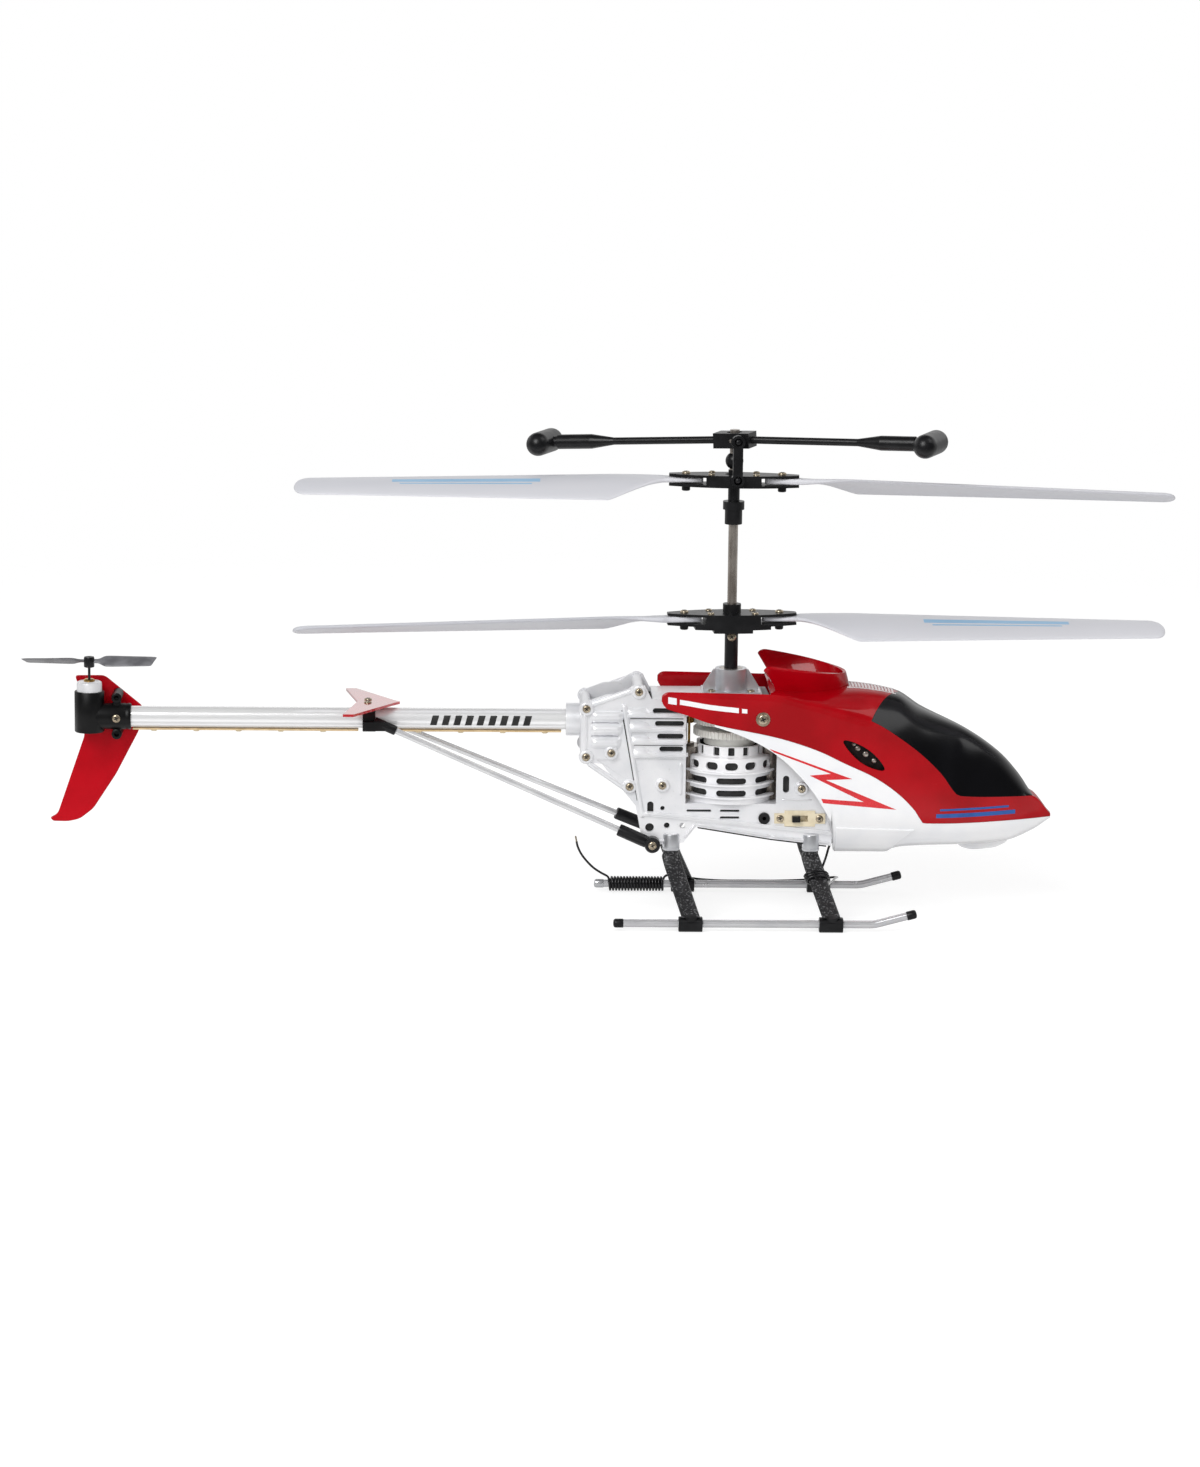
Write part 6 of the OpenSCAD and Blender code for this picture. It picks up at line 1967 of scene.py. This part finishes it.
@dataclass
class Tail:
    """Tail motor holder, its posts and screw, the fin, the propeller and the light strip."""

    arm: float = -243.0
    boom_z: float = 74.5
    post_x: float = 10.4
    posts: Pair = (68.0, 82.0)
    fin_y: Pair = (8.0, 9.2)
    fin_corner: float = 1.6
    prop_z: float = 95.6
    prop_r: float = 25.5
    cup_z: float = 68.6
    can_z: float = 69.5
    bush_z: float = 87.9
    shaft_z: float = 84.9
    shaft: Outline = ((0.5, 0), (0.5, 12.6))
    cross_bar: Point = (3.0, 4.4, 0.8)
    cup: Outline = ((4.82, 0), (5.4, 0), (5.65, 0.3), (5.65, 15.35), (5.45, 15.6), (4.82, 15.6))
    socket: Outline = (
        (4.02, 0), (4.02, 15.8), (4.75, 15.8), (5.0, 15.5), (5.0, 14.4), (4.9, 14.2), (4.9, 13.7),
        (5.0, 13.5), (5.0, 0),
    )
    post: Outline = ((0.95, 2.4), (0.95, 0), (1.7, 0), (1.95, 0.2), (1.95, 5.6), (2.0, 6.0), (2.0, 11.0))
    post_end: Outline = ((1.7, 0), (1.7, 0.6), (1.2, 0.8), (0.02, 0.8))
    can: Outline = ((4.2, 0), (4.75, 0.3), (4.79, 0.8), (4.79, 17.4), (4.6, 18.1), (4.1, 18.4), (1.2, 18.4))
    bush: Outline = ((1.0, 0), (2.1, 0), (2.1, 0.6), (1.6, 0.95), (0.7, 0.95))
    fin: Outline = (
        (-6.1, 88.6), (5.2, 88.7), (19.7, 76.8), (18.2, 67.6), (9.4, 50.6), (0.6, 37.0), (-4.6, 32.9),
        (-9.0, 31.9), (-14.8, 32.0), (-15.9, 33.3), (-13, 34.9), (-2.5, 65.6), (-5, 85.6),
    )
    hub: Outline = ((1.3, 0), (1.9, 0.2), (2.0, 0.5), (2.0, 3.6), (1.8, 4.1), (0.9, 4.2))
    prop_section: Outline = (
        (-0.5, 0), (-0.48, 0.2), (-0.3, 0.36), (0, 0.5), (0.3, 0.42), (0.5, 0.08), (0.3, -0.22), (0, -0.18),
        (-0.3, -0.2),
    )
    prop_stations: tuple[float, ...] = (
        1.2, 2.2, 3.2, 4.0, 4.8, 5.6, 6.4, 7.6, 9, 12, 15, 18, 21, 23, 24.0, 24.3, 24.5,
    )
    strips: tuple[Pair, ...] = ((-226.6, -141.2), (-126.4, -64.2))
    strip_z: float = 69.9
    strip_lamp: Outline = ((69.6, 1), (69.15, 1), (68.95, 0.7))
    lamp_pitch: float = 16.0
    lamp_margin: float = 10.0
    strut_high: Point = (-131, 6, 72.5)
    strut_low: Point = (-29.6, 16.7, 29.6)
    strut_r: float = 1.15
    sleeve: Outline = ((1.2, 1.8), (2.1, 2), (2.3, 2.6), (2.35, 6), (2.35, 13.3), (2.2, 13.9), (1.2, 14))
    ferrule: Outline = ((1.1, -4.6), (1.7, -4.5), (1.85, -4.1), (1.85, 4.0), (1.7, 4.4), (1.1, 4.5))
    eye: Outline = (
        (1.3, -2.2), (1.5, -2.5), (2.6, -2.5), (2.95, -2.1), (2.95, 2.1), (2.6, 2.5), (1.5, 2.5),
        (1.3, 2.2),
    )
    bar: Outline = ((0, 3.9), (0, 4.05), (2.5, 4.05), (2.5, 3.9))
    bars: int = 9
    bar_x: float = -113.5
    bar_pitch: float = 4.4
    bar_slant: float = 0.018
    bar_turn: Pair = (-30.0, 26.0)

    def at(self, x: float, y: float, z: float) -> Point:
        """Point given from the tail motor's axis."""
        return (self.arm + x, y, z)

    def holder(self) -> None:
        """Builds the holder's cup, boom socket, cross bar and posts."""
        up, left = (0, 0, 1), (0, 1, 0)
        mesh = Mesh().turned(self.cup, self.at(0, 0, self.cup_z), up, 48)
        mesh.turned(self.socket, self.at(0, 0, self.boom_z), (1, 0, 0), 40)
        bar = rounded(*self.cross_bar)
        levels = (self.posts[0], self.boom_z - 4.6, self.boom_z + 4.6, self.posts[1])
        mesh.loft([[self.at(self.post_x + a, b, z) for a, b in bar] for z in levels])
        for z in self.posts:
            mesh.turned(self.post, self.at(self.post_x, -3.0, z), left, 28)
            mesh.turned(self.post_end, self.at(self.post_x, self.fin_y[1], z), left, 24)
        mesh.piece("tail_holder", Finishes.HOLDER, replaces=("tail_motor_holder", "fin_posts"), angle=40)
        can = Mesh().turned(self.can, self.at(0, 0, self.can_z), up, 40)
        can.piece("tail_motor_can", Finishes.SILVER, replaces=("tail_motor",), angle=35)
        bush = Mesh().turned(self.bush, self.at(0, 0, self.bush_z), up, 28)
        bush.piece("tail_motor_bush", Finishes.BRASS, angle=35)
        screw = Fasteners(Body.AIRFRAME)
        screw.screw(self.at(self.post_x, -4.95, self.boom_z), (0, -1, 0), 3.2, 0.8, 0.5)
        screw.build("tail_screw", Finishes.BRIGHT, ())

    def tail_fin(self) -> None:
        """Builds the fin from its outline with softened corners."""
        ring = [Vector((x, 0, z)) for x, z in self.fin]
        soft = []
        for k, here in enumerate(ring):
            before, after = ring[k - 1] - here, ring[(k + 1) % len(ring)] - here
            cut = min(self.fin_corner, before.length * 0.45, after.length * 0.45)
            a, b = here + before.normalized() * cut, here + after.normalized() * cut
            soft += [bend(a, here, b, t) for t in spread(0, 1, 6)]
        mesh = Mesh().loft([[self.at(p.x, y, p.z) for p in soft] for y in self.fin_y])
        mesh.piece("tail_fin_plate", Finishes.FIN, replaces=("tail_fin",), bevel=0.3, angle=50)

    def prop_ring(self, r: float, sign: int) -> list[Point]:
        """Section of a propeller blade.

        Args:
            r: Distance from the shaft.
            sign: Which of the two blades.

        Returns:
            The section's points.
        """
        wide = Line((1.2, 2.0), (3.2, 2.2), (6.4, 5.9), (9, 6.3), (22, 6.2), (self.prop_r, 5.6))
        slope = Line((1.2, 40), (7, 32), (self.prop_r, 24))
        a = radians(slope(r))
        flat = 1.0 if r < 24 else (0.9 if r < 24.4 else 0.55)
        chord = wide(r) * (1 if r < 24.2 else 0.94)
        made = []
        for p, t in self.prop_section:
            y, z = p * chord, (t + 0.35 * (0.25 - p * p)) * flat
            out = r + 1.9 * p * max(0.0, (r - 15) / 9.5)
            across = y * cos(a) - z * sin(a)
            made.append(self.at(sign * out, sign * across, self.prop_z + y * sin(a) + z * cos(a)))
        return made

    def propeller(self) -> None:
        """Builds the two-bladed tail propeller with its hub and shaft."""
        middle, blades, up = Mesh(), Mesh(), (0, 0, 1)
        middle.turned(self.shaft, self.at(0, 0, self.shaft_z), up, 16)
        middle.turned(self.hub, self.at(0, 0, self.prop_z - 2.4), up, 28)
        for sign in (1, -1):
            blades.loft([self.prop_ring(r, sign) for r in self.prop_stations])
        body, node = Body.TAIL_ROTOR, "tail_propeller"
        blades.piece("tail_propeller_twisted", Finishes.PROP, body, (node,), angle=50)
        middle.piece("tail_propeller_hub", Finishes.BLACK, body, angle=40)

    def strip(self) -> None:
        """Builds the light strip under the boom with its small lamps."""
        mesh, lamps = Mesh(), Mesh()
        outline, lamp = rounded(3.0, 0.7, 0.25, 3), rounded(2.2, 1.8, 0.5, 3)
        for x0, x1 in self.strips:
            mesh.loft([[(x, a, self.strip_z + b) for a, b in outline] for x in spread(x0, x1, 24)])
            first, count = x0 + self.lamp_pitch / 2, int((x1 - x0 - self.lamp_margin) // self.lamp_pitch) + 1
            for x in (first + self.lamp_pitch * k for k in range(count)):
                lamps.loft([[(x + a * s, b * s, z) for a, b in lamp] for z, s in self.strip_lamp])
        mesh.piece("boom_light_strip", Finishes.STRIP, replaces=("led_strip",), angle=40)
        lamps.piece("boom_strip_lamps", Finishes.CREAM, angle=40)

    def struts(self) -> None:
        """Builds the support struts with the black sleeves and eyes on their ends."""
        mesh, rods = Mesh(), Mesh()
        for side in Side:
            high, low = side.point(*self.strut_high), side.point(*self.strut_low)
            run = Vector(high) - Vector(low)
            along = tuple(run.normalized())
            rods.turned([(self.strut_r, 2.0), (self.strut_r, run.length)], low, along, 28)
            mesh.turned(self.sleeve, low, along, 28)
            mesh.turned(self.ferrule, high, along, 24)
            mesh.turned(self.eye, low, (0, 1, 0), 36)
        rods.piece("strut_rods", Finishes.ROD, replaces=("support_struts",))
        mesh.piece("strut_sleeves", Finishes.BLACK, replaces=("strut_ends",), angle=40)

    def hatch(self) -> None:
        """Lays a row of plain slanted bars on both sides of the boom."""
        mesh = Mesh()
        for side in Side:
            for k in range(self.bars):
                rings = []
                for a in spread(*self.bar_turn, 8):
                    turn, x = radians(a), self.bar_x + self.bar_pitch * k + a * self.bar_slant
                    out, up = cos(turn), sin(turn)
                    rings.append([side.point(x + dx, r * out, self.boom_z + r * up) for dx, r in self.bar])
                mesh.loft(rings)
        mesh.piece("boom_hatch", Finishes.LINING)

    def build(self) -> None:
        """Builds the tail."""
        self.struts()
        self.hatch()
        self.holder()
        self.tail_fin()
        self.propeller()
        self.strip()


@dataclass
class Drum:
    """The finned, slotted drum round the motors, in two halves."""

    radius: float = 16.5
    wall: float = 1.2
    cap: float = 13.4
    low: float = 45.0
    shoulder: float = 62.6
    top: float = 66.6
    half_gap: float = 23.0
    fins: tuple[float, ...] = (47.2, 52.0, 56.6)
    fin_out: float = 18.2
    fin_t: float = 0.8
    openings: tuple[tuple[tuple[float, ...], ...], ...] = (
        ((-54, 0, 54), (49.2, 53.9), (11.3, 2.5, 1.2)),
        ((-56, -27, 0, 27, 56), (59.6,), (4.9, 3.0, 1.45)),
        ((-56, -25, 0, 25, 56), (64.7,), (2.4, 3.2, 0.3, 3)),
    )
    cut: Pair = (9, 22)

    def turns(self, count: int) -> list[float]:
        """Angles round one half of the drum."""
        return [radians(a) for a in spread(self.half_gap, 180 - self.half_gap, count)]

    def swept(self, line: Outline, count: int, side: Side) -> Grid:
        """An outline of radius and height, turned round one half of the drum."""
        return [[side.ring_point(r, a, z) for r, z in line] for a in self.turns(count)]

    def hole(self, mesh: Mesh, turn: float, z: float, outline: Outline, side: Side) -> None:
        """Adds a radial prism.

        Args:
            mesh: Mesh to add to.
            turn: Its angle from straight out, in degrees.
            z: Height of its middle.
            outline: Its section, across and up.
            side: The half of the drum that it goes through.
        """
        a = radians(turn)
        across = Vector(side.point(cos(a), sin(a), 0))
        out = Vector(side.point(-sin(a), cos(a), 0))
        mesh.loft([
            [tuple(out * r + across * u + Vector((0, 0, z + v))) for u, v in outline] for r in self.cut
        ])

    def holes(self, side: Side) -> Mesh:
        """All the slots and holes of one half.

        Args:
            side: The half.

        Returns:
            Their closed forms.
        """
        mesh = Mesh()
        for turns, levels, form in self.openings:
            for turn in turns:
                for z in levels:
                    self.hole(mesh, turn, z, rounded(*form), side)
        return mesh

    def walls(self) -> tuple[list[Pair], list[Pair]]:
        """Outlines of the drum's outer and inner face.

        Returns:
            Pairs of radius and height of each face, from the bottom up.
        """
        r, high, cap, top = self.radius, self.shoulder, self.cap, self.top
        bore, neck = r - self.wall, cap - self.wall
        outer = [
            (r, self.low), (r, high - 0.6), (r - 0.2, high - 0.15), (r - 0.6, high),
            (cap + 0.3, high + 0.1), (cap, high + 0.4), (cap, top - 0.4), (cap - 0.4, top),
        ]
        inner = [
            (bore, self.low), (bore, high - 1.3), (bore - 0.1, high - 1.2), (bore - 0.2, high - 1.15),
            (neck + 0.2, high - 1.1), (neck, high - 0.8), (neck, top - 0.6), (neck, top - 0.2),
        ]
        return outer, inner

    def build(self) -> None:
        """Builds both halves with their fins."""
        fins, foot, out, t = Mesh(), self.radius - 0.3, self.fin_out, self.fin_t
        rim = ((foot, 0), (out - 0.2, 0), (out, 0.2), (out, t - 0.2), (out - 0.2, t), (foot, t))
        for side in Side:
            half = Mesh().shell(*(self.swept(line, 61, side) for line in self.walls()))
            name, node, holes = "drum_half_" + side.word, "motor_shroud_" + side.word, self.holes(side)
            # The drum's silver is brightened: painted light against the frame's shade.
            half.piece(name, Finishes.DRUM, replaces=(node,), bevel=0.14, cutter=holes)
            for z in self.fins:
                fins.loft(self.swept([(r, z + h) for r, h in rim], 49, side))
        fins.piece("drum_fins", Finishes.DRUM, angle=35)


@dataclass
class Studio:
    """Camera, floor, lamps and surroundings."""

    distance: float = 1.9
    azimuth: float = -1.7
    elevation: float = 11.0
    roll: float = 0.7
    aim: Point = (1.6, 0.0, 69.0)
    lens: float = 122.6
    floor_half: float = 3.0
    floor_fade: Pair = (420, 900)
    lamp_aim: Point = (0, 0, 0.08)

    def camera(self) -> None:
        """Sets the camera at the photograph's viewing angle."""
        data = bpy.data.cameras.new("camera")
        data.sensor_fit = "VERTICAL"
        data.sensor_height = data.sensor_width = 36
        data.lens = self.lens
        data.clip_start, data.clip_end = 0.05, 50
        camera = linked("camera", data)
        a, e = radians(self.azimuth), radians(self.elevation)
        back = Vector((sin(a) * cos(e), -cos(a) * cos(e), sin(e)))
        turn = (-back).to_track_quat("-Z", "Y").to_matrix().to_4x4()
        place = Matrix.Translation(Vector(self.aim) * MM + back * self.distance)
        camera.matrix_world = place @ turn @ Matrix.Rotation(radians(self.roll), 4, "Z")
        bpy.context.scene.camera = camera

    def lamp(self, name: str, place: Point, power: float, size: float, mirrored: bool = True) -> None:
        """Adds a square soft lamp that faces the helicopter.

        Args:
            name: The lamp's name.
            place: Where it hangs, in metres.
            power: Its power in watts.
            size: Its side in metres.
            mirrored: Whether gloss shows it.
        """
        data = bpy.data.lights.new(name, "AREA")
        data.energy = power
        data.size = size
        lamp = linked(name, data)
        lamp.location = place
        lamp.visible_glossy = mirrored
        lamp.rotation_euler = (Vector(self.lamp_aim) - Vector(place)).to_track_quat("-Z", "Y").to_euler()

    def floor(self) -> None:
        """Lays a white floor that keeps the helicopter's soft shadow and fades into the white behind it."""
        data = bpy.data.meshes.new("floor")
        w = self.floor_half
        data.from_pydata([(-w, -w, 0), (w, -w, 0), (w, w, 0), (-w, w, 0)], [], [(0, 1, 2, 3)])
        floor = linked("floor", data)
        made = bpy.data.materials.new("floor_white")
        made.use_nodes = True
        shader = Shader(made.node_tree, "ShaderNodeOutputMaterial")
        greys = ((grey, grey, grey, 1) for grey in (0.85, 0.4))
        plain, matt = (shader.node("ShaderNodeBsdfDiffuse", inputs={"Color": grey}) for grey in greys)
        glow, dim = (shader.shine("ShaderNodeEmission", strength) for strength in (0.73, 0.34))
        lit = shader.node("ShaderNodeAddShader", inputs={0: matt, 1: glow})
        where = shader.place()
        away = shader.node("ShaderNodeVectorMath", {"operation": "LENGTH"}, {0: where}, out="Value")
        across = shader.axis(where, "Y")
        # Gloss rays see a dimmer floor far in front and behind, and painted shade in bands along both skids,
        # which darkens the skids' undersides.
        painted_skid_shade = shader.step(across, -15, -30) * shader.step(across, -90, -60)
        painted_skid_shade = painted_skid_shade | shader.step(across, 0, 12) * shader.step(across, 50, 38)
        darker = shader.step(across, -40, -300) | painted_skid_shade * 0.85 | shader.step(across, 120, 400) * 0.6
        shown = shader.blend(shader.ray("Glossy") * darker, lit, dim)
        near = shader.blend(shader.seen(), plain, shown)
        clear = shader.node("ShaderNodeBsdfTransparent")
        shader.close(shader.blend(shader.step(away, *self.floor_fade), near, clear))
        data.materials.append(made)

    @staticmethod
    def world() -> None:
        """Surrounds the scene with white behind and below, and a dim room in front that gloss shows."""
        world = bpy.data.worlds.new("studio")
        bpy.context.scene.world = world
        world.use_nodes = True
        shader = Shader(world.node_tree, "ShaderNodeOutputWorld")
        look = shader.node("ShaderNodeTexCoord", out="Generated")
        ahead, up = (shader.axis(look, name) for name in "YZ")
        room = shader.step(ahead, 0.45, -0.2) | (shader.step(up, 0.4, 0.75) * shader.step(ahead, 0.95, 0.7))
        room = room | (shader.step(up, 0.17, 0.05) * 0.6)
        soft, white, dim = (shader.shine("ShaderNodeBackground", strength) for strength in (0.5, 1.0, 0.08))
        shown = shader.blend(room * (1 - shader.ray("Camera")), white, dim)
        shader.close(shader.blend(shader.seen(), soft, shown))

    def build(self) -> None:
        """Builds the studio."""
        bpy.context.scene.view_settings.view_transform = "Standard"
        self.camera()
        self.floor()
        self.world()
        self.lamp("key_lamp", (-1.1, -1.9, 1.7), 39, 1.3)
        self.lamp("fill_lamp", (1.6, -0.4, 2.2), 9, 1.2)
        self.lamp("front_lamp", (0.3, -2.2, 0.4), 11, 1.4, mirrored=False)


def dress_frame() -> None:
    """Gives every CAD node its finish, and rounds the edges of those that still show."""
    for row in frame["record"]["subparts"]:
        node = frame["nodes"][row["node"]]
        node.data.materials.clear()
        finish = OWN_FINISH.get(row["node"], BY_SLOT[row["material_slot"]])
        node.data.materials.append(finish.material())
        if not node.hide_render:
            round_edges(node, width=0.12, steps=2, angle=38)
    LOG.info("finishes: %d", len(BY_SLOT))


def main() -> None:
    """Builds the scene."""
    logging.basicConfig(level=logging.INFO, format="%(name)s: %(message)s")
    Studio().build()
    Antenna().build()
    canopy = Canopy()
    canopy.build()
    Trim(canopy).build()
    FrameDress().build(canopy)
    for part in (Drum(), RotorHeads(), LandingGear(), Tail(), Blades()):
        part.build()
    dress_frame()


if __name__ == "__main__":
    main()
